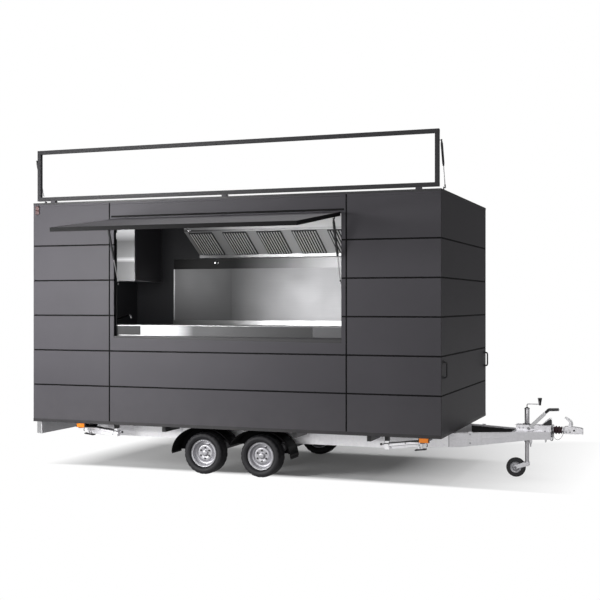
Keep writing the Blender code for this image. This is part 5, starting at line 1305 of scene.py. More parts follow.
@dataclass
class HatchFlap:
    """Edge caps, lining, latch and hook of the open hatch flap."""

    length: float = 1.24
    thickness: float = 0.038
    half_width: float = 1.265
    dots: tuple = (-0.985, -0.56)
    hook_x: float = 0.135

    def build(self) -> None:
        """Dress the flap."""
        reach, thick, wide = self.length, self.thickness, self.half_width
        m = Mesher()
        m.slab(flap_point, (reach - 0.0005, reach + 0.0015), (-0.0012, thick + 0.0012), (-wide, wide))
        m.slab(flap_point, (reach - 0.014, reach + 0.001), (-0.0012, 0), (-wide, wide))
        for side in (-1, 1):
            x = sorted((side * (wide - 0.0005), side * (wide + 0.0012)))
            m.slab(flap_point, (0.01, reach), (-0.001, thick + 0.001), (x[0], x[1]))
        m.piece("flap_edge_caps", F.guard, "hatch_flap", bevel=0.0006)
        m.slab(flap_point, (0.03, 0.11), (thick, thick + 0.0016), (-wide + 0.03, wide - 0.03))
        m.slab(flap_point, (reach - 0.095, reach - 0.015), (thick, thick + 0.0016),
            (-wide + 0.03, wide - 0.03))
        for x in (-wide + 0.03, -0.04, wide - 0.11):
            m.slab(flap_point, (0.11, reach - 0.095), (thick, thick + 0.0016), (x, x + 0.08))
        m.piece("flap_inner_frame", F.steel, "hatch_flap", bevel=0.0006)
        y, z = flap_point(reach * 0.42, 0)
        normal = (0, -sin(FLAP_DROOP), cos(FLAP_DROOP))
        for x in self.dots:
            m.turned([(0.01, -0.0005), (0.01, 0.0012), (0.007, 0.003), (0, 0.0036)], (x, y, z), normal, 24)
        m.piece("flap_plugs", F.knob, "hatch_flap")
        y, z = flap_point(reach - 0.135, thick)
        x = self.hook_x
        m.tube([(x, y, z + 0.002), (x, y - 0.001, z - 0.022), (x + 0.004, y - 0.008, z - 0.036),
            (x + 0.016, y - 0.011, z - 0.039), (x + 0.034, y - 0.009, z - 0.032)], 0.004, 12, 4)
        m.box((x - 0.016, y - 0.014, z - 0.003), (x + 0.016, y + 0.014, z + 0.002))
        m.piece("flap_pull_hook", F.bright, "hatch_flap", bevel=0.0008)
        for x in (-0.9, 0.9):
            m.slab(flap_point, (reach - 0.085, reach - 0.025), (thick + 0.0012, thick + 0.004),
                (x - 0.022, x + 0.022))
        m.piece("flap_latches", F.black, "hatch_flap", bevel=0.0008)
        for x in (-1.105, 0, 1.105):
            for step in (-0.016, 0.016):
                y, z = flap_point(0.016, 0)
                m.rivet((x + step, y, z), normal, 0.0035)
        m.piece("flap_hinge_rivets", F.black, "hatch_flap")


@dataclass
class SignFrame:
    """Corner plates, panel bolts and hinge bolts of the roof's sign frame."""

    half: float = 2.245
    low: float = 2.915
    high: float = 3.468
    face_y: float = -1.12
    back_y: float = -1.08
    hinges: tuple = (-2.045, 0.0, 2.045)

    def build(self) -> None:
        """Dress the frame."""
        m = Mesher()
        for step in range(9):
            x = -1.96 + 0.49 * step
            m.bolt((x, self.face_y, self.low + 0.02), (0, -1, 0), 0.0035)
            m.bolt((x, self.face_y, self.high - 0.02), (0, -1, 0), 0.0035)
        for side in (-1, 1):
            m.box((side * (self.half - 0.0005), self.face_y + 0.004, self.low + 0.004),
                (side * (self.half + 0.0015), self.back_y - 0.004, self.low + 0.036))
            m.box((side * (self.half - 0.0005), self.face_y + 0.004, self.high - 0.036),
                (side * (self.half + 0.0015), self.back_y - 0.004, self.high - 0.004))
        m.piece("sign_frame_bolts", F.black, "sign_frame")
        for x in self.hinges:
            for side in (-1, 1):
                m.bolt((x + side * 0.024, self.back_y, 2.905), (side, 0, 0), 0.0055)
            m.box((x - 0.045, -1.118, Z_TOP - 0.0005), (x + 0.045, -1.062, Z_TOP + 0.002))
            for dx in (-0.036, 0.036):
                m.bolt((x + dx, -1.074, Z_TOP + 0.002), (0, 0, 1), 0.004)
        m.piece("sign_hinge_bolts", F.fastener)


@dataclass
class GasStruts:
    """Collars, sleeves and end sockets of the four gas struts."""

    hatch_x: float = 1.249
    sign_x: float = 2.2665
    sleeve: float = 0.0024

    def strut(self, name: str, top: Point, foot: Point, closed: float, radius: float) -> None:
        """Dress one strut.

        Args:
            name: the name that its two bodies start with.
            top: the pin on the moving frame.
            foot: the pin on the body.
            closed: from the top pin to the cylinder's mouth.
            radius: the cylinder's radius.
        """
        a, b = Vector(top), Vector(foot)
        line = (b - a).normalized()
        mouth = a + line * closed
        m = Mesher()
        m.turned([(0.0052, -0.01), (radius + 0.0006, -0.01), (radius + 0.0006, -0.0015),
            (radius - 0.001, 0.0008), (0.0052, 0.0008)], mouth, line, 28, True)
        m.turned([(radius - 0.0002, 0.018), (radius + 0.0008, 0.019), (radius + 0.0008, 0.024),
            (radius - 0.0002, 0.025)], a, line, 28, True)
        m.piece(name + "_collar", F.black, name + "_cylinder")
        m.turned([(radius + 0.0001, 0.03), (radius + self.sleeve, 0.032), (radius + self.sleeve,
            closed - 0.018), (radius + 0.0001, closed - 0.016)], a, line, 32, True)
        m.piece(name + "_sleeve", F.black, name + "_cylinder")
        m.bar(b - line * 0.03, b - line * 0.01, 0.0068, 18)
        m.ball(b, 0.0086)
        m.piece(name + "_socket", F.knob, name + "_rod")
        m.bar(a + line * 0.008, a + line * 0.0165, 0.0062, 18)
        m.ball(a, 0.0086)
        m.piece(name + "_top_socket", F.knob, name + "_cylinder")

    def build(self) -> None:
        """Dress all four."""
        y, z = flap_point(0.18, 0.055)
        for word, side in (("rear", -1), ("front", 1)):
            self.strut("hatch_strut_" + word, (side * self.hatch_x, y, z), (side * self.hatch_x, -1.095, 2),
                0.38, 0.01)
            self.strut("sign_strut_" + word, (side * self.sign_x, -1.1, 3.358),
                (side * self.sign_x, -0.94, 2.92), 0.25, 0.009)


@dataclass
class Wheels:
    """Treaded tyres, smooth silver rims, hub caps, bolts and valves."""

    sides: int = 144
    bolts: int = 6
    bolt_circle: float = 0.0555
    tread_depth: float = 0.0045

    def tyre(self, word: str, place: Point, side: int) -> None:
        """Make one treaded tyre in the place of the plain one.

        Args:
            word: the wheel's name ending.
            place: its centre.
            side: -1 on the serving side, 1 on the other.
        """
        deep = self.tread_depth
        outer = [(0.1275, 0.0595), (0.144, 0.06), (0.1462, 0.07), (0.15, 0.0795), (0.156, 0.0858),
            (0.1575, 0.0878), (0.16, 0.088), (0.164, 0.0912), (0.176, 0.094), (0.18, 0.0948),
            (0.185, 0.0946), (0.1935, 0.093), (0.1962, 0.0905), (0.2, 0.09), (0.2065, 0.086),
            (0.212, 0.079), (0.2165, 0.069), (0.2186, 0.06)]
        tread = []
        for centre in (0.046, 0.016):
            tread += [(0.219, centre + 0.0055), (0.2196 - deep, centre + 0.0038),
                (0.2196 - deep, centre - 0.0038), (0.2196, centre - 0.0055)]
        right = outer + tread
        profile = right + [(r, -h) for r, h in reversed(right)]
        shoulder = range(14, 18)
        count = len(profile)

        def dent(step: int, point: int) -> float:
            """Cross grooves over the shoulders and fine cuts in the ribs.

            Args:
                step: the facet's number.
                point: the profile point's number.

            Returns:
                The change of radius.
            """
            mirrored = min(point, count - 1 - point)
            if mirrored in shoulder and step % 6 in (0, 1):
                return -deep * 0.75
            if mirrored in (18, 21, 22, 25) and (step + (2 if point > count / 2 else 0)) % 4 == 0:
                return -deep * 0.55
            return 0

        m = Mesher()
        m.turned(profile, place, (0, side, 0), self.sides, True, dent)
        obj = m.piece("treaded_tyre_" + word, F.tyre, "wheel_" + word, angle=28)
        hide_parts("tyre_" + word)

    def rim(self, word: str, place: Point, side: int) -> None:
        """Make one rim with its hub cap, bolts and valve.

        Args:
            word: the wheel's name ending.
            place: its centre.
            side: -1 on the serving side, 1 on the other.
        """
        profile = [(0, 0.024), (0.033, 0.024), (0.0345, 0.0262), (0.044, 0.0262), (0.046, 0.0272),
            (0.075, 0.0272), (0.079, 0.0264), (0.084, 0.0225), (0.0895, 0.014), (0.0945, 0.0065),
            (0.1, 0.004), (0.108, 0.0044), (0.115, 0.0075), (0.119, 0.013), (0.1205, 0.03), (0.1212, 0.042),
            (0.124, 0.05), (0.1275, 0.056), (0.133, 0.06), (0.1375, 0.065), (0.1408, 0.066),
            (0.143, 0.0645), (0.1432, 0.0603), (0.1272, 0.06), (0.1272, -0.06), (0.143, -0.0603),
            (0.143, -0.0655), (0.135, -0.0655), (0.1235, -0.056), (0.1205, -0.03), (0.12, -0.004),
            (0.1, -0.004), (0.078, 0.012), (0, 0.012)]
        m = Mesher()
        m.turned(profile, place, (0, side, 0), 96)
        obj = m.piece("dressed_rim_" + word, F.rim, "wheel_" + word, angle=40)
        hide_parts("rim_" + word)
        x, y, z = place
        m.turned([(0, 0.05), (0.018, 0.0498), (0.0255, 0.0478), (0.03, 0.044), (0.0318, 0.04),
            (0.0324, 0.0262), (0.034, 0.0255), (0.034, 0.0235), (0, 0.0235)], place, (0, side, 0), 40)
        m.turned([(0.006, 0.0495), (0.01, 0.0508), (0.014, 0.0497)], place, (0, side, 0), 24, True)
        m.piece("hub_cap_" + word, F.rim, "wheel_" + word)
        seats, heads = Mesher(), Mesher()
        for step in range(self.bolts):
            angle = 2 * pi * (step + 0.5) / self.bolts
            bx, bz = x + self.bolt_circle * cos(angle), z + self.bolt_circle * sin(angle)
            seats.turned([(0, 0.0276), (0.0115, 0.0276), (0.0122, 0.027), (0.0122, 0.0262), (0, 0.0262)],
                (bx, y, bz), (0, side, 0), 24)
            heads.bar((bx, y + side * 0.027, bz), (bx, y + side * 0.0385, bz), 0.0088, 6)
            heads.bar((bx, y + side * 0.038, bz), (bx, y + side * 0.0402, bz), 0.007, 12, 0.0045)
        seats.piece("bolt_seats_" + word, F.dull_zinc, "wheel_" + word)
        heads.piece("wheel_bolts_" + word, F.black, "wheel_" + word, bevel=0.0006)
        angle = radians(62)
        base = Vector((x + 0.11 * cos(angle), y + side * 0.0045, z + 0.11 * sin(angle)))
        tip = base + Vector((-0.012 * cos(angle), side * 0.034, -0.012 * sin(angle)))
        m.bar(base, tip, 0.0052, 16, 0.0036)
        m.bar(base.lerp(tip, 0.72), tip + (tip - base) * 0.08, 0.0046, 14)
        m.piece("valve_" + word, F.soft, "wheel_" + word)

    def build(self) -> None:
        """Dress the four wheels."""
        for row, x in WHEEL_X.items():
            for name, side in SIDES.items():
                word = "%s_%s" % (row, name)
                place = (x, side * Y_WHEEL, WHEEL_RADIUS)
                self.tyre(word, place, side)
                self.rim(word, place, side)


@dataclass
class Mudguards:
    """Rolled edges, inner skirts, brackets and flaps of the two tandem guards, and black sheets of painted
    shade on the rails behind the wheels.
    """

    reach: float = 0.35
    inner_y: float = 0.788
    outer_y: float = 1.025
    top_z: float = 0.4955
    steps: int = 20

    def arch(self, shrink: float = 0, radius: float = 0) -> list[Pair]:
        """The outline of the guard seen from the side.

        Args:
            shrink: how far inside the CAD sheet's outer face.
            radius: the radius of a round line about the axles instead, or 0.

        Returns:
            X and Z of its points, front to rear.
        """
        height = 0.4997 - WHEEL_RADIUS
        front, rear = WHEEL_X["front"], WHEEL_X["rear"]
        reach = self.reach - shrink
        meet = degrees(acos(min(1, (front - rear) / 2 / reach)))
        points = []
        for centre, first, last in ((front, 2, 180 - meet), (rear, meet, 178)):
            for step in range(self.steps + 1):
                angle = radians(first + (last - first) * step / self.steps)
                wide, tall = (radius, radius) if radius else (reach, height - shrink)
                points.append((centre + wide * cos(angle), WHEEL_RADIUS + tall * sin(angle)))
        return points

    def build(self) -> None:
        """Dress both guards."""
        m = Mesher()
        line = self.arch(0.002)
        for name, side in SIDES.items():
            for y in (self.outer_y, self.inner_y + 0.002):
                m.tube([(x, side * y, z) for x, z in line], 0.0042, 10)
            for x, z in (line[0], line[-1]):
                m.tube([(x, side * self.inner_y, z), (x, side * self.outer_y, z)], 0.0042, 10)
            m.piece("guard_beads_" + name, F.guard)
            # The liner is painted shade: a black sheet over the rail's face behind the wheels.
            for word, radii, near, far, gap in (("guard_skirt_", (0, 0.236), self.inner_y + 0.003,
                    self.inner_y + 0.0055, 1), ("rail_shade_sheet_", (0.285, 0.105), 0.7304, 0.733, 0.1)):
                upper, lower = (self.arch(0.003, radius) for radius in radii)
                low, high = sorted((side * near, side * far))
                for a, b, c, d in zip(upper, upper[1:], lower[1:], lower):
                    if 1e-6 < dist(a, b) < gap:
                        m.prism([a, b, c, d], low, high, Axis.Y)
                m.piece(word + name, F.guard)
            for x in (-0.5, -0.02, 0.06, 0.54):
                z = self.top_z
                m.box((x - 0.014, side * 0.735, z - 0.05), (x + 0.014, side * 0.74, z))
                m.box((x - 0.014, side * 0.735, z - 0.006), (x + 0.014, side * 0.8, z - 0.003))
                m.bolt((x, side * 0.74, z - 0.034), (0, side, 0), 0.005)
            m.piece("guard_brackets_" + name, F.black)
            for x, lift in ((line[0][0], 1), (line[-1][0], -1)):
                m.box((x - 0.004 - 0.001 * lift, side * (self.inner_y + 0.01), WHEEL_RADIUS - 0.012),
                    (x + 0.002, side * (self.outer_y - 0.006), WHEEL_RADIUS + 0.035))
            m.piece("guard_flaps_" + name, F.soft, bevel=0.0008)


def beam_y(x: float) -> float:
    """The distance of a drawbar beam's outer face from the centreline, past the bend."""
    return RAIL_Y + (BEAM_TIP_Y - RAIL_Y) * (x - BEND_X) / (BEAM_TIP_X - BEND_X)


@dataclass
class Chassis:
    """Bolts, gussets, welds and pipework of the frame and axles."""

    posts: tuple = (-1.725, -0.71, 0.755, 1.54)
    axle_x: tuple = (0.495, -0.15)

    def build(self) -> None:
        """Dress the frame."""
        m, g = Mesher(), Mesher()
        for side in (-1, 1):
            for x in self.posts:
                for dx, dz in ((-0.03, 0.455), (0.03, 0.455), (-0.03, 0.48), (0.03, 0.48)):
                    m.bolt((x + dx, side * RAIL_Y, dz - 0.03), (0, side, 0), 0.006)
                g.box((x - 0.045, side * RAIL_Y, 0.405), (x + 0.045, side * (RAIL_Y + 0.004), 0.4392))
            way = Vector((BEAM_TIP_X - BEND_X, side * (BEAM_TIP_Y - RAIL_Y), 0)).normalized()
            out = Vector((abs(way.y), side * way.x, 0))
            for x in (2.155, 2.245):
                for z in (0.36, 0.45):
                    m.bolt((x, side * beam_y(x), z), out, 0.0055)
        m.piece("frame_bolts", F.zinc)
        g.piece("frame_gussets", F.zinc, bevel=0.001)
        for side in (-1, 1):
            x = 2.2
            y = side * beam_y(x)
            m.tube([(x, y + side * 0.0006, 0.34), (x, y + side * 0.0006, 0.4795)], 0.0032, 8)
            bend_y = side * RAIL_Y
            m.tube([(BEND_X, bend_y + side * 0.0003, 0.338), (BEND_X, bend_y + side * 0.0003, 0.4985)],
                0.0026, 8)
        m.piece("frame_welds", F.dull_zinc)
        for side in (-1, 1):
            m.tube([(2.06, side * 0.33, 0.462), (1.9, side * 0.44, 0.455), (1.5, side * 0.6, 0.452),
                (0.8, side * 0.668, 0.45), (-1.5, side * 0.668, 0.45), (-2, side * 0.66, 0.47),
                (-2.235, side * 0.62, 0.47)], 0.0065, 10, 5)
        m.piece("wiring_conduit", F.soft)
        for name, side in SIDES.items():
            m.box((-1.748, side * 0.905, 0.443), (-1.696, side * 0.937, 0.496))
            for dz in (0.452, 0.487):
                m.bolt((-1.722, side * 0.937, dz), (0, side, 0), 0.0035)
            m.piece("socket_box_" + name, F.pale, bevel=0.003)
            m.turned([(0, 0), (0.0135, 0), (0.015, 0.004), (0.015, 0.02), (0.012, 0.024), (0.012, 0.06),
                (0.015, 0.066), (0.014, 0.084), (0, 0.088)], (-1.697, side * 0.921, 0.464), (1, 0, 0), 28)
            m.piece("socket_gland_" + name, F.black)
        for x in self.axle_x:
            for side in (-1, 1):
                m.box((x - 0.055, side * 0.672, 0.3335), (x + 0.055, side * 0.738, 0.3395))
                for dx in (-0.042, 0.042):
                    m.bolt((x + dx, side * 0.735, 0.337), (0, side, 0), 0.0055)
                    m.bar((x + dx, side * 0.705, 0.322), (x + dx, side * 0.705, 0.336), 0.006, 6)
                m.turned([(0, 0.006), (0.03, 0.006), (0.034, 0.002), (0.034, -0.0005), (0, -0.0005)],
                    (x, side * 0.7838, 0.29), (0, side, 0), 24)
        m.piece("axle_saddles", F.dull_zinc, bevel=0.0008)
        for x in WHEEL_X.values():
            for side in (-1, 1):
                m.turned([(0.0985, 0), (0.1, 0.002), (0.1, 0.006), (0.0985, 0.008)],
                    (x, side * (Y_WHEEL - 0.05), WHEEL_RADIUS), (0, side, 0), 40, True)
                m.tube([(x + 0.03, side * 0.852, WHEEL_RADIUS + 0.05), (x + 0.09, side * 0.8, 0.3),
                    (x + 0.12, side * 0.7, 0.315), (x + 0.12, side * 0.2, 0.318),
                    (x + 0.02, side * 0.05, 0.33)], 0.005, 10, 5)
        m.piece("brake_pipes", F.black)


@dataclass
class Steadies:
    """Lips, spindles, feet and hooks of the four folding corner legs."""

    front_x: float = 1.69
    rear_x: float = -1.35
    y: float = 0.95
    axis_z: float = 0.368
    length: float = 0.36
    rise: float = 7.0

    def build(self) -> None:
        """Dress the four legs."""
        for row, x, way in (("front", self.front_x, 1), ("rear", self.rear_x, -1)):
            for name, side in SIDES.items():
                self.leg("%s_%s" % (row, name), x, way, side)

    def leg(self, word: str, x: float, way: int, side: int) -> None:
        """Dress one leg.

        Args:
            word: its name ending.
            x: its pivot.
            way: 1 if it points ahead, -1 if it points back.
            side: -1 on the serving side, 1 on the other.
        """
        rise = radians(self.rise)
        y = side * self.y

        def spot(out: float, up: float) -> Pair:
            """A point of the leg, seen from the side.

            Args:
                out: the distance from its pivot.
                up: the distance above its middle line.

            Returns:
                X and Z.
            """
            return (x + way * (out * cos(rise) - up * sin(rise)),
                self.axis_z + out * sin(rise) + up * cos(rise))

        body = "steady_" + word
        m = Mesher()
        for edge in (-1, 1):
            low, high = sorted((y + edge * 0.02, y + edge * 0.0222))
            m.prism([spot(-0.011, -0.013), spot(0.35, -0.013), spot(0.35, -0.0085), spot(-0.011, -0.0085)],
                low, high, Axis.Y)
        m.piece(body + "_lips", F.zinc, body)
        for out in (0.04, 0.325):
            px, pz = spot(out, 0)
            for edge in (-1, 1):
                m.bolt((px, y + edge * 0.02, pz), (0, edge, 0), 0.0055)
        m.piece(body + "_bolts", F.fastener, body)
        low, high = y - 0.0275, y + 0.0275
        m.prism([spot(0.28, -0.0515), spot(0.386, -0.0515), spot(0.39, -0.046), spot(0.386, -0.0385),
            spot(0.28, -0.0385), spot(0.276, -0.046)], low, high, Axis.Y)
        m.piece(body + "_pad", F.soft, body, bevel=0.002)
        a, b = spot(0.333, -0.036), spot(0.333, 0.006)
        for edge in (-0.016, 0.016):
            m.bar((a[0], y + edge, a[1]), (b[0], y + edge, b[1]), 0.0065, 16)
        m.piece(body + "_ankle", F.bright, body)
        bottom = self.axis_z + 0.017
        grow = tan(rise)
        near, far = (-0.03, bottom - 0.03 * grow + 0.03), (0.39, bottom + 0.39 * grow + 0.03)
        for edge in (-1, 1):
            low, high = sorted((y + edge * 0.0315, y + edge * 0.0335))
            m.prism([(x + way * near[0], near[1] - 0.007), (x + way * far[0], far[1] - 0.007),
                (x + way * far[0], far[1] + 0.0012), (x + way * near[0], near[1] + 0.0012)], low, high,
                Axis.Y)
        m.piece(body + "_channel_edges", F.black)
        for out in (0.02, 0.19, 0.36):
            bx = x + way * out
            m.bolt((bx, y + side * 0.032, bottom + out * grow + 0.016), (0, side, 0), 0.0055)
        px = x + way * 0.12
        m.bar((px, y, bottom + 0.12 * grow + 0.015), (x - way * 0.055, y, bottom + 0.014), 0.008, 14)
        m.piece(body + "_spindle", F.fastener)
        hx = x - way * 0.058
        m.bar((hx, y, bottom + 0.014), (hx - way * 0.016, y, bottom + 0.014), 0.011, 6)
        m.tube([(x + way * 0.392, y + side * 0.012, bottom + 0.392 * grow + 0.02),
            (x + way * 0.4, y + side * 0.012, bottom + 0.392 * grow - 0.004), (x + way * 0.404,
            y + side * 0.012, bottom + 0.392 * grow - 0.03), (x + way * 0.396, y + side * 0.012,
            bottom + 0.392 * grow - 0.04)], 0.004, 10, 4)
        m.piece(body + "_hook", F.black)


@dataclass
class Drawbar:
    """Fastenings of the A-shaped drawbar, its deck plate and brackets, and a black sheet of painted shade
    in the far beam.
    """

    deck: tuple = (2.789, 3.156, 0.486)

    def beams(self) -> None:
        """Add the upright bracket, flange lips and bolts along both beams."""
        lips, bolts, brackets = Mesher(), Mesher(), Mesher()
        for side in (-1, 1):
            a, b = (2.235, beam_y(2.235)), (2.78, beam_y(2.78))
            for z in (0.4775, 0.42):
                drop = 0 if z > 0.45 else 0.01
                lips.tube([(a[0], side * (a[1] + 0.001), z - drop * 0.3), (b[0], side * (b[1] + 0.001),
                    z + drop)], 0.0028, 8)
            x = 2.4
            y = beam_y(x)
            brackets.prism([(x - 0.02, side * (y + 0.002)), (x + 0.02, side * (y - 0.0155)),
                (x + 0.021, side * (y - 0.01)), (x - 0.019, side * (y + 0.0075))], 0.35, 0.4905)
            for z in (0.375, 0.465):
                bolts.bolt((x, side * (y + 0.0005), z), (0.39, side * 0.92, 0), 0.0065)
        lips.piece("beam_lips", F.zinc)
        brackets.piece("beam_brackets", F.zinc, bevel=0.0008)
        bolts.piece("beam_bolts", F.fastener)

    def top(self) -> None:
        """Bolt the deck plate down, add the housing flanges and a black sheet of painted shade on the far
        beam's inner face.
        """
        low, high, z = self.deck
        m = Mesher()
        for x in (low + 0.022, low + 0.2, high - 0.05):
            for side in (-1, 1):
                m.bolt((x, side * 0.072, z), (0, 0, 1), 0.0075)
        for x in (2.845, 2.885, 2.945, 2.985):
            for side in (-1, 1):
                m.bolt((x, side * 0.0555, 0.515), (0, side, 0), 0.006)
        m.piece("deck_bolts", F.fastener)
        for side in (-1, 1):
            m.box((2.8, side * 0.0585, 0.5425), (3.165, side * 0.055, 0.5465))
        m.piece("housing_flanges", F.zinc, bevel=0.0006)
        # Painted shade: a black sheet along the far beam's inner face, where it lies in shade.
        inner = 0.052
        line = [(2.262, beam_y(2.262) - inner), (2.78, beam_y(2.78) - inner)]
        m.prism([line[0], line[1], (line[1][0], line[1][1] - 0.003), (line[0][0], line[0][1] - 0.003)],
            0.352, 0.468)
        m.piece("beam_shade_sheet", F.black)
        m.turned([(0, 0), (0.012, 0.001), (0.0175, 0.008), (0.0175, 0.03), (0.012, 0.042), (0, 0.044)],
            (2.935, -0.034, 0.395), (0, 0, 1), 24)
        m.turned([(0, 0), (0.009, 0.0005), (0.0065, 0.034), (0, 0.034)], (3.06, -0.03, 0.424), (0, 0, 1),
            18)
        m.piece("underside_caps", F.black)

    def build(self) -> None:
        """Dress the drawbar."""
        self.beams()
        self.top()


@dataclass
class Coupling:
    """Boot folds, clamp, head fittings, handbrake grip and the brake linkage."""

    axis_z: float = 0.5
    boot_x: float = 3.1805
    boot_length: float = 0.0885
    folds: int = 3
    lever_y: float = -0.0652

    def boot(self) -> None:
        """Replace the plain bellows with one of round folds."""
        profile = []
        count = self.folds * 10
        for step in range(count + 1):
            share = step / count
            wave = 0.5 + 0.5 * cos(2 * pi * (share * self.folds))
            ridge = 0.0455 - 0.0065 * share
            profile.append((0.031 + (ridge - 0.031) * wave, self.boot_length * share))
        profile = [(0.0232, 0), *profile, (0.0232, self.boot_length)]
        m = Mesher()
        m.turned(profile, (self.boot_x, 0, self.axis_z), (1, 0, 0), 56, True)
        obj = m.piece("folded_boot", F.boot)
        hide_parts("bellows")
        m.turned([(0.0335, 0), (0.035, 0.001), (0.035, 0.007), (0.0335, 0.008)],
            (self.boot_x + self.boot_length - 0.0085, 0, self.axis_z), (1, 0, 0), 48, True)
        m.turned([(0.0465, 0), (0.048, 0.001), (0.048, 0.005), (0.0465, 0.006)],
            (self.boot_x + 0.001, 0, self.axis_z), (1, 0, 0), 48, True)
        m.piece("boot_clamps", F.fastener)

    def head(self) -> None:
        """Add the neck ring, wear window, cross bolts and the curved pull handle."""
        z = self.axis_z
        m = Mesher()
        m.turned([(0.024, 0), (0.033, 0.0005), (0.035, 0.004), (0.035, 0.011), (0.033, 0.0145),
            (0.024, 0.015)], (3.2775, 0, z), (1, 0, 0), 40, True)
        m.piece("neck_ring", F.fastener)
        for x in (3.315, 3.35):
            for side in (-1, 1):
                m.bolt((x, side * 0.038, z - 0.012), (0, side, 0), 0.0075)
        m.piece("head_bolts", F.fastener)
        for side in (-1, 1):
            m.turned([(0, 0.0012), (0.0085, 0.0012), (0.01, 0.0004), (0.01, -0.0004), (0, -0.0004)],
                (3.392, side * 0.0382, z + 0.004), (0, side, 0), 28)
        m.piece("head_windows", F.soft)
        for side in (-1, 1):
            y = side * 0.024
            m.tube([(3.372, y, z + 0.05), (3.37, y, z + 0.076), (3.356, y, z + 0.1), (3.33, y, z + 0.121),
                (3.305, y, z + 0.1345)], 0.0045, 12, 5)
        m.piece("pull_handle_rims", F.bright)
        for side in (-1, 1):
            y = side * 0.0395
            m.tube([(3.41, y, z - 0.02), (3.445, y, z - 0.022), (3.466, side * 0.0392, z - 0.026)], 0.0022,
                8)
        m.piece("head_edges", F.zinc)

    def lever(self) -> None:
        """Add the handbrake's black grip and button, flat bar, pivot cap, sector cover and spring wire."""
        y = self.lever_y
        m = Mesher()
        m.tube([(3.112, y, 0.679), (3.145, y, 0.7085), (3.175, y, 0.7115), (3.243, y, 0.715)],
            [0.014, 0.0156, 0.0158, 0.015], 20, 5)
        m.turned([(0, 0.004), (0.008, 0.0035), (0.009, 0), (0, -0.0005)], (3.2435, y, 0.715), (1, 0, 0.05),
            20)
        m.piece("lever_grip", F.knob)
        line = Vector((3.11 - 2.943, 0, 0.676 - 0.511)).normalized()
        over = Vector((-line.z, 0, line.x)) * 0.0185
        start, end = Vector((2.955, 0, 0.523)), Vector((3.104, 0, 0.67))
        m.prism([(start.x + over.x, start.z + over.z), (end.x + over.x, end.z + over.z),
            (end.x - over.x, end.z - over.z), (start.x - over.x, start.z - over.z)], y - 0.0102, y + 0.0098,
            Axis.Y)
        m.piece("lever_bar", F.bright, bevel=0.002)
        m.turned([(0, 0.003), (0.012, 0.0028), (0.015, 0.001), (0.015, 0), (0, 0)],
            (2.943, y - 0.0115, 0.511), (0, -1, 0), 24)
        m.piece("lever_pivot_cap", F.dull_zinc)
        m.prism([(3.0645, 0.5445), (3.17, 0.5445), (3.17, 0.598), (3.156, 0.612)], -0.03, -0.0255, Axis.Y)
        m.piece("brake_sector_cover", F.black, bevel=0.0008)
        m.tube([(3.172, -0.031, 0.545), (3.168, -0.031, 0.615), (3.156, -0.031, 0.622),
            (3.12, -0.031, 0.59), (3.06, -0.031, 0.546)], 0.002, 10, 3)
        m.piece("lever_spring_wire", F.bright)

    def underside(self) -> None:
        """Add the overrun lever and its rod, a cable hook and the end plates' edges."""
        m = Mesher()
        m.prism([(3.09, 0.432), (3.12, 0.432), (3.112, 0.372), (3.098, 0.366)], -0.006, 0.006, Axis.Y)
        m.bar((2.99, -0.017, 0.4285), (3.16, -0.017, 0.4385), 0.0045, 12)
        m.piece("overrun_linkage", F.bright)
        m.tube([(3.15, -0.036, 0.424), (3.158, -0.036, 0.4), (3.17, -0.036, 0.392), (3.18, -0.036, 0.402),
            (3.178, -0.036, 0.414)], 0.0035, 10, 4)
        m.piece("cable_hook", F.black)
        for side in (-1, 1):
            m.box((3.1665, side * 0.059, 0.43), (3.1796, side * 0.0665, 0.5455))
        m.piece("end_plate_edges", F.black, bevel=0.001)

    def build(self) -> None:
        """Dress the coupling."""
        self.boot()
        self.head()
        self.lever()
        self.underside()


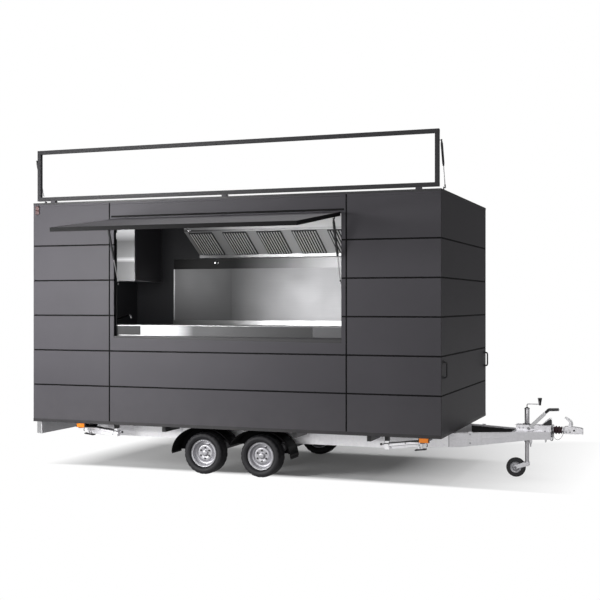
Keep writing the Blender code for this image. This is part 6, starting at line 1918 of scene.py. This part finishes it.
@dataclass
class JockeyWheel:
    """Collars, clamp, crank sleeve, hub discs and axle nuts of the jockey wheel."""

    x: float = 2.915
    wheel_x: float = 2.802
    radius: float = 0.1
    clamp_z: float = 0.555
    cap_z: float = 0.713

    def build(self) -> None:
        """Dress the jockey wheel."""
        m = Mesher()
        for z, high in ((0.366, 0.012), (0.468, 0.008), (0.5475, 0.014), (0.7, 0.0128)):
            m.turned([(0.0241, 0), (0.0275, 0.001), (0.0275, high - 0.001), (0.0241, high)], (self.x, 0, z),
                (0, 0, 1), 40, True)
        m.piece("jockey_collars", F.fastener)
        for z, high in ((0.5615, 0.138), (0.379, 0.086)):
            m.turned([(0.0241, 0), (0.0246, 0.002), (0.0246, high - 0.002), (0.0241, high)], (self.x, 0, z),
                (0, 0, 1), 48, True)
        m.piece("jockey_sleeve", F.tube_zinc)
        z = self.clamp_z
        m.bar((self.x, -0.024, z), (self.x, -0.048, z), 0.006, 14)
        m.bar((self.x - 0.03, -0.046, z), (self.x + 0.03, -0.046, z), 0.0045, 12)
        for end in (-0.03, 0.03):
            m.ball((self.x + end, -0.046, z), 0.0065)
        m.piece("jockey_clamp", F.black)
        m.turned([(0, 0.012), (0.01, 0.011), (0.015, 0.006), (0.0238, 0.002), (0.0238, 0), (0, 0)],
            (self.x, 0, self.cap_z), (0, 0, 1), 32)
        m.piece("jockey_cap", F.knob)
        knob_x, knob_z = self.x + 0.132, 0.757
        m.turned([(0, -0.0125), (0.0095, -0.0118), (0.0105, -0.006), (0.0135, 0.02), (0.0195, 0.05),
            (0.0208, 0.06), (0.019, 0.0648), (0, 0.0655)], (knob_x, 0, knob_z), (0, 0, 1), 36)
        m.piece("crank_knob", F.knob)
        profile = [(0.0325, 0.024), (0.034, 0.0225), (0.036, 0.016), (0.053, 0.016), (0.056, 0.0205),
            (0.06, 0.024), (0.084, 0.025), (0.0925, 0.0245), (0.097, 0.019), (0.099, 0.011), (0.1, 0.0)]
        whole = profile + [(r, -h) for r, h in reversed(profile[:-1])]
        place = (self.wheel_x, 0, self.radius)
        inner = [(0.0105, -0.0232), (0.0105, 0.0232)]
        m.turned(whole + inner, place, (0, 1, 0), 96, True)
        obj = m.piece("jockey_tyre", F.soft, "jockey_wheel", angle=28)
        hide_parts("jockey_wheel")
        for side in (-1, 1):
            m.turned([(0.012, 0.0246), (0.03, 0.0246), (0.0325, 0.0232), (0.0345, 0.0185), (0.044, 0.0172),
                (0.051, 0.0185), (0.056, 0.0232), (0.0575, 0.0232), (0.0555, 0.0165), (0.012, 0.015)],
                place, (0, side, 0), 56, True)
            for step in range(5):
                angle = 2 * pi * step / 5
                m.bolt((place[0] + 0.042 * cos(angle), side * 0.0168, place[2] + 0.042 * sin(angle)),
                    (0, side, 0), 0.0042)
        m.piece("jockey_hub_discs", F.rim, "jockey_wheel")
        for side in (-1, 1):
            m.bolt((place[0], side * 0.034, place[2]), (0, side, 0), 0.0085)
        m.piece("jockey_axle_nuts", F.dull_zinc, "jockey_fork")


@dataclass
class Lamps:
    """Lenses, bases, stems and plates of the side and rear lamps."""

    side_x: tuple = (2.1, -1.69)
    bar_low: float = 0.356
    bar_high: float = 0.4997

    def build(self) -> None:
        """Dress the lamps."""
        m = Mesher()
        for row, x in zip(("front", "rear"), self.side_x):
            for name, side in SIDES.items():
                face = self.face(name)
                word = "%s_%s" % (row, name)
                y = (side * (face - 0.0005), side * (face + 0.0022))
                m.box((x - 0.036, y[0], 0.46), (x + 0.036, y[1], 0.486))
                m.piece("side_lens_" + word, F.amber, bevel=0.0012)
                y = (side * (face - 0.02), side * (face - 0.0022))
                m.box((x - 0.054, y[0], 0.456), (x - 0.0445, y[1], 0.491))
                m.box((x + 0.0445, y[0], 0.456), (x + 0.054, y[1], 0.491))
                m.piece("side_lamp_ends_" + word, F.knob, bevel=0.0015)
                m.box((x - 0.06, side * (face - 0.03), 0.4935), (x + 0.06, side * (face - 0.012), 0.499))
                m.tube([(x, side * (face - 0.031), 0.478), (x + 0.01, side * 0.95, 0.482),
                    (x, side * 0.85, 0.49), (x - 0.02, side * 0.76, 0.488)], 0.0035, 8, 4)
                m.piece("side_lamp_stems_" + word, F.soft)
        for name, side in SIDES.items():
            back = X_REAR - 0.045
            for step, finish in enumerate((F.red, F.amber, F.clear)):
                far = 1.005 - step * 0.085
                y = sorted((side * far, side * (far - 0.08)))
                m.box((back - 0.002, y[0] + 0.002, self.bar_low + 0.042), (back + 0.001, y[1] - 0.002,
                    self.bar_high - 0.048))
                m.piece("rear_lens_%d_%s" % (step, name), finish, bevel=0.001)
            m.box((X_REAR - 0.0265, side * 1.04, self.bar_low + 0.004), (X_REAR + 0.03, side * 1.0418,
                self.bar_high - 0.004))
            m.piece("bar_end_plate_" + name, F.bright, bevel=0.0008)
        m.box((X_REAR - 0.0268, -0.26, self.bar_low + 0.012), (X_REAR - 0.0248, 0.26,
            self.bar_high - 0.016))
        m.piece("plate_holder", F.knob, bevel=0.001)
        m.box((X_REAR - 0.028, -0.235, self.bar_low + 0.02), (X_REAR - 0.0265, 0.235,
            self.bar_high - 0.024))
        m.piece("blank_plate", F.pale, bevel=0.0006)

    def face(self, name: str) -> float:
        """The distance of the outer face of the CAD side lamps on one side from the centreline."""
        low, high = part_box("side_lamp_front_" + name)
        return max(abs(low[1] - ORIGIN.y), abs(high[1] - ORIGIN.y))


@dataclass
class Handles:
    """Base plates and screws of the four grab handles."""

    y: float = 1.065
    z: float = 1.157
    half: float = 0.075

    def build(self) -> None:
        """Dress the handles."""
        plates, screws = Mesher(), Mesher()
        for end in (-1, 1):
            for side in (-1, 1):
                for lift in (-1, 1):
                    z = self.z + lift * self.half
                    place = (end * X_FRONT, side * self.y, z)
                    plates.turned([(0.0092, 0), (0.0205, 0), (0.021, 0.0015), (0.019, 0.004),
                        (0.0125, 0.0052), (0.0092, 0.0052)], place, (end, 0, 0), 28, True)
                    for dy in (-0.0145, 0.0145):
                        screws.rivet((end * (X_FRONT + 0.0036), side * self.y + dy, z), (end, 0, 0), 0.003)
        plates.piece("handle_plates", F.black)
        screws.piece("handle_screws", F.fastener)


@dataclass
class Kitchen:
    """Grease filters, trims, doors, taps and panels of the galley behind the hatch."""

    back_y: float = 1.0997
    hood: Pair = (-1.235, 2.225)
    slope_from: Pair = (0.4677, 2.648)
    slope_to: Pair = (0.8867, 2.392)
    pitch: float = 0.44
    slats: int = 9
    slat_pitch: float = 0.033
    slat_half: float = 0.0056
    slat_gap: float = 0.0084
    cook_front: float = 0.4797
    door_x: tuple = tuple(-1.64 + 0.4825 * step for step in range(8))
    pull: Pair = (0.464, 1.36)

    def on_slope(self, along: float, proud: float) -> Pair:
        """A point of the hood's sloping underside.

        Args:
            along: the distance from its front edge.
            proud: the distance out of it.

        Returns:
            Y and Z.
        """
        dy, dz = self.slope_to[0] - self.slope_from[0], self.slope_to[1] - self.slope_from[1]
        length = hypot(dy, dz)
        dy, dz = dy / length, dz / length
        return self.slope_from[0] + dy * along + dz * proud, self.slope_from[1] + dz * along - dy * proud

    def filters(self) -> None:
        """Lay bright slats, with painted light, over black strips of painted shade in the gaps of each
        group of baffles.
        """
        slats, gaps, frames = Mesher(), Mesher(), Mesher()
        length = dist(self.slope_from, self.slope_to)
        run = (0.026, length - 0.026)
        groups = int((self.hood[1] - self.hood[0] - 0.06) / self.pitch)
        for group in range(groups):
            first = self.hood[0] + 0.07 + group * self.pitch
            last = first + (self.slats - 1) * self.slat_pitch
            for slat in range(self.slats):
                x = first + slat * self.slat_pitch
                slats.slab(self.on_slope, run, (0.0112, 0.0142), (x - self.slat_half, x + self.slat_half))
                if slat < self.slats - 1:
                    gaps.slab(self.on_slope, run, (0.0006, 0.0085), (x + self.slat_gap,
                        x + self.slat_pitch - self.slat_gap))
                    for low, high in ((self.slat_half, 0.0088), (self.slat_pitch - 0.0088,
                            self.slat_pitch - self.slat_half)):
                        gaps.slab(self.on_slope, run, (0.0098, 0.011), (x + low, x + high))
            for low, high in ((first - 0.02, first - 0.0125), (last + 0.0125, last + 0.02)):
                frames.slab(self.on_slope, (0.012, length - 0.012), (-0.0004, 0.0105), (low, high))
            frames.slab(self.on_slope, (0.01, 0.02), (-0.0004, 0.0105), (first - 0.02, last + 0.02))
            frames.slab(self.on_slope, (length - 0.02, length - 0.01), (-0.0004, 0.0105),
                (first - 0.02, last + 0.02))
        slats.piece("filter_slats", F.slat)
        gaps.piece("filter_gap_shade", F.shade_and_joint_black)
        # Painted shade: the filter frames are stainless made near black.
        frames.piece("filter_frames", F.shaded_steel)

    def hood_trim(self) -> None:
        """Add the gutter's lip, the band under it and a small drain cap."""
        m = Mesher()
        x0, x1 = self.hood
        m.box((x0 - 0.0012, self.slope_to[0] - 0.0014, 2.356), (x1, self.slope_to[0] + 0.0006, 2.3915))
        m.box((x0, 0.4483, 2.65), (x1, 0.4499, 2.672))
        m.piece("gutter_lip", F.gutter_steel, bevel=0.0004)
        # Painted shadow: the band under the gutter is near black at its rear end.
        m.box((-1.693, self.back_y - 0.012, 2.226), (x1 - 0.002, self.back_y - 0.0078, 2.3535))
        m.piece("backing_band", F.shadowed_band, bevel=0.0006)
        m.turned([(0, 0.036), (0.012, 0.034), (0.02, 0.022), (0.024, 0.004), (0.03, 0), (0, 0)],
            (-1.1, self.back_y - 0.012, 2.305), (0, -1, 0), 28)
        m.piece("band_fitting", F.bright)
        m.box((-1.6955, self.back_y - 0.0125, 1.5805), (-1.68, self.back_y - 0.0078, 2.2255))
        m.piece("splashback_edge", F.light_steel, bevel=0.0004)
        for x in (-0.9, 0.65):
            m.box((x - 0.0012, self.back_y - 0.0086, 1.582), (x + 0.0012, self.back_y - 0.0078, 2.224))
        m.piece("splashback_joints", F.shade_and_joint_black)

    def cabinet(self) -> None:
        """Add the wall cabinet's door front, its handle strip and a side panel."""
        m = Mesher()
        y = 0.3997
        # The cabinet front carries painted highlight bands.
        m.box((-2.2235, y - 0.003, 2.068), (-1.879, y + 0.0002, 2.848))
        m.piece("cabinet_front", F.cabinet_face, bevel=0.0008)
        m.box((-2.22, y - 0.011, 2.068), (-1.883, y - 0.0028, 2.079))
        m.piece("cabinet_pull", F.bright, bevel=0.001)
        x = -1.878
        m.box((x - 0.0002, y + 0.01, 2.07), (x + 0.0022, 1.095, 2.848))
        m.piece("cabinet_side", F.charcoal, bevel=0.0005)

    def counters(self) -> None:
        """Add the serving counter's front panels, edge bead, tap and drain, and shelf fronts."""
        front = -1.0997
        m = Mesher()
        m.box((-1.262, front - 0.0016, 1.46), (-0.9785, front - 0.0001, 1.554))
        m.piece("apron_recess", F.shade_and_joint_black, bevel=0.0004)
        # Painted light and shade: the apron panel is lighter at its rear end and near black towards the
        # front, and the front end panel is stainless made near black.
        m.box((-0.9765, front - 0.0032, 1.45), (0.9575, front - 0.0001, 1.556))
        m.piece("apron_panel", F.shaded_apron, bevel=0.0006)
        m.box((0.96, front - 0.0032, 1.45), (1.262, front - 0.0001, 1.556))
        m.piece("apron_panel_front", F.shaded_steel, bevel=0.0006)
        m.tube([(-1.27, front - 0.0022, 1.5605), (1.27, front - 0.0022, 1.5605)], 0.0038, 12)
        m.piece("counter_bead", F.light_steel)
        tap_x, sink_y = -1.465, -0.8097
        spout = 1.665
        m.tube([(tap_x, sink_y, 1.5595), (tap_x, sink_y, 1.595), (tap_x + 0.012, sink_y, 1.607),
            (tap_x + 0.176, sink_y, spout), (tap_x + 0.204, sink_y, spout - 0.006),
            (tap_x + 0.21, sink_y, spout - 0.034)], 0.0104, 20)
        m.turned([(0, 0.034), (0.016, 0.033), (0.0205, 0.028), (0.0215, 0.006), (0.026, 0), (0, 0)],
            (tap_x, sink_y, 1.5602), (0, 0, 1), 32)
        m.tube([(tap_x, sink_y, 1.592), (tap_x - 0.015, sink_y, 1.618), (tap_x - 0.055, sink_y, 1.63)],
            0.0055, 12, 4)
        m.piece("tap_chrome", F.bright)
        x, y = tap_x + 0.202, sink_y
        m.turned([(0, 0.0026), (0.02, 0.0024), (0.034, 0.0012), (0.038, -0.0003), (0, -0.0003)],
            (x, y, 1.42), (0, 0, 1), 36)
        m.piece("sink_drain", F.bright)
        for x in self.door_x:
            m.box((x, self.cook_front - 0.0012, 0.66), (x + 0.47, self.cook_front + 0.0001, 1.395))
        m.piece("cook_doors", F.steel, bevel=0.0004)
        y, z = self.pull
        for x in self.door_x:
            m.bar((x + 0.1, y, z), (x + 0.37, y, z), 0.005, 14)
            for end in (0.12, 0.35):
                m.bar((x + end, y, z), (x + end, self.cook_front - 0.0007, z), 0.004, 10)
        m.piece("cook_door_pulls", F.bright)

    def build(self) -> None:
        """Dress the kitchen."""
        self.filters()
        self.hood_trim()
        self.cabinet()
        self.counters()


def dress_nodes() -> None:
    """Give each CAD node that stays its finish, by the record's slot or by name."""
    by_slot = {"cladding": F.cladding, "black_metal": F.black, "galvanised": F.zinc, "stainless": F.steel,
        "rubber": F.soft, "rim_steel": F.rim, "guard_plastic": F.guard, "amber": F.amber,
        "flooring": F.deck, "cable_coat": F.cable}
    by_name = {"cook_counter": F.worktop, "serving_counter": F.worktop, "chassis_frame": F.frame_zinc,
        "extraction_hood": F.hood_steel, "splashback": F.splash_steel, "sign_frame": F.frame_paint,
        "handbrake_lever": F.zinc, "hatch_flap": F.shaded_flap_cladding, "wall_cabinet": F.upright_steel,
        "axle_front": F.dull_zinc, "axle_rear": F.dull_zinc, "jockey_leg": F.tube_zinc,
        "jockey_tube": F.tube_zinc}
    slots = {row["node"]: row["material_slot"] for row in frame["record"]["subparts"]}
    for name, obj in frame["nodes"].items():
        finish = by_name.get(name, by_slot[slots[name]])
        obj.data.materials.clear()
        obj.data.materials.append(Made.of(finish))
        obj.data.shade_smooth()
        obj.data.set_sharp_from_angle(angle=radians(32))
    LOG.info("dressed %d nodes", len(frame["nodes"]))


def main() -> None:
    """Build the scene, sub-assembly by sub-assembly."""
    logging.basicConfig(level=logging.INFO, format="%(name)s: %(message)s")
    studio = Studio()
    studio.camera()
    BreakawayCable().build()
    for part in (Body(), HatchFlap(), SignFrame(), GasStruts(), Wheels(), Mudguards(), Chassis(),
            Steadies(), Drawbar(), Coupling(), JockeyWheel(), Lamps(), Handles(), Kitchen()):
        LOG.info("building %s", type(part).__name__)
        part.build()
    dress_nodes()
    studio.world()
    studio.lights()
    studio.floor()
    studio.view()


if __name__ == "__main__":
    main()
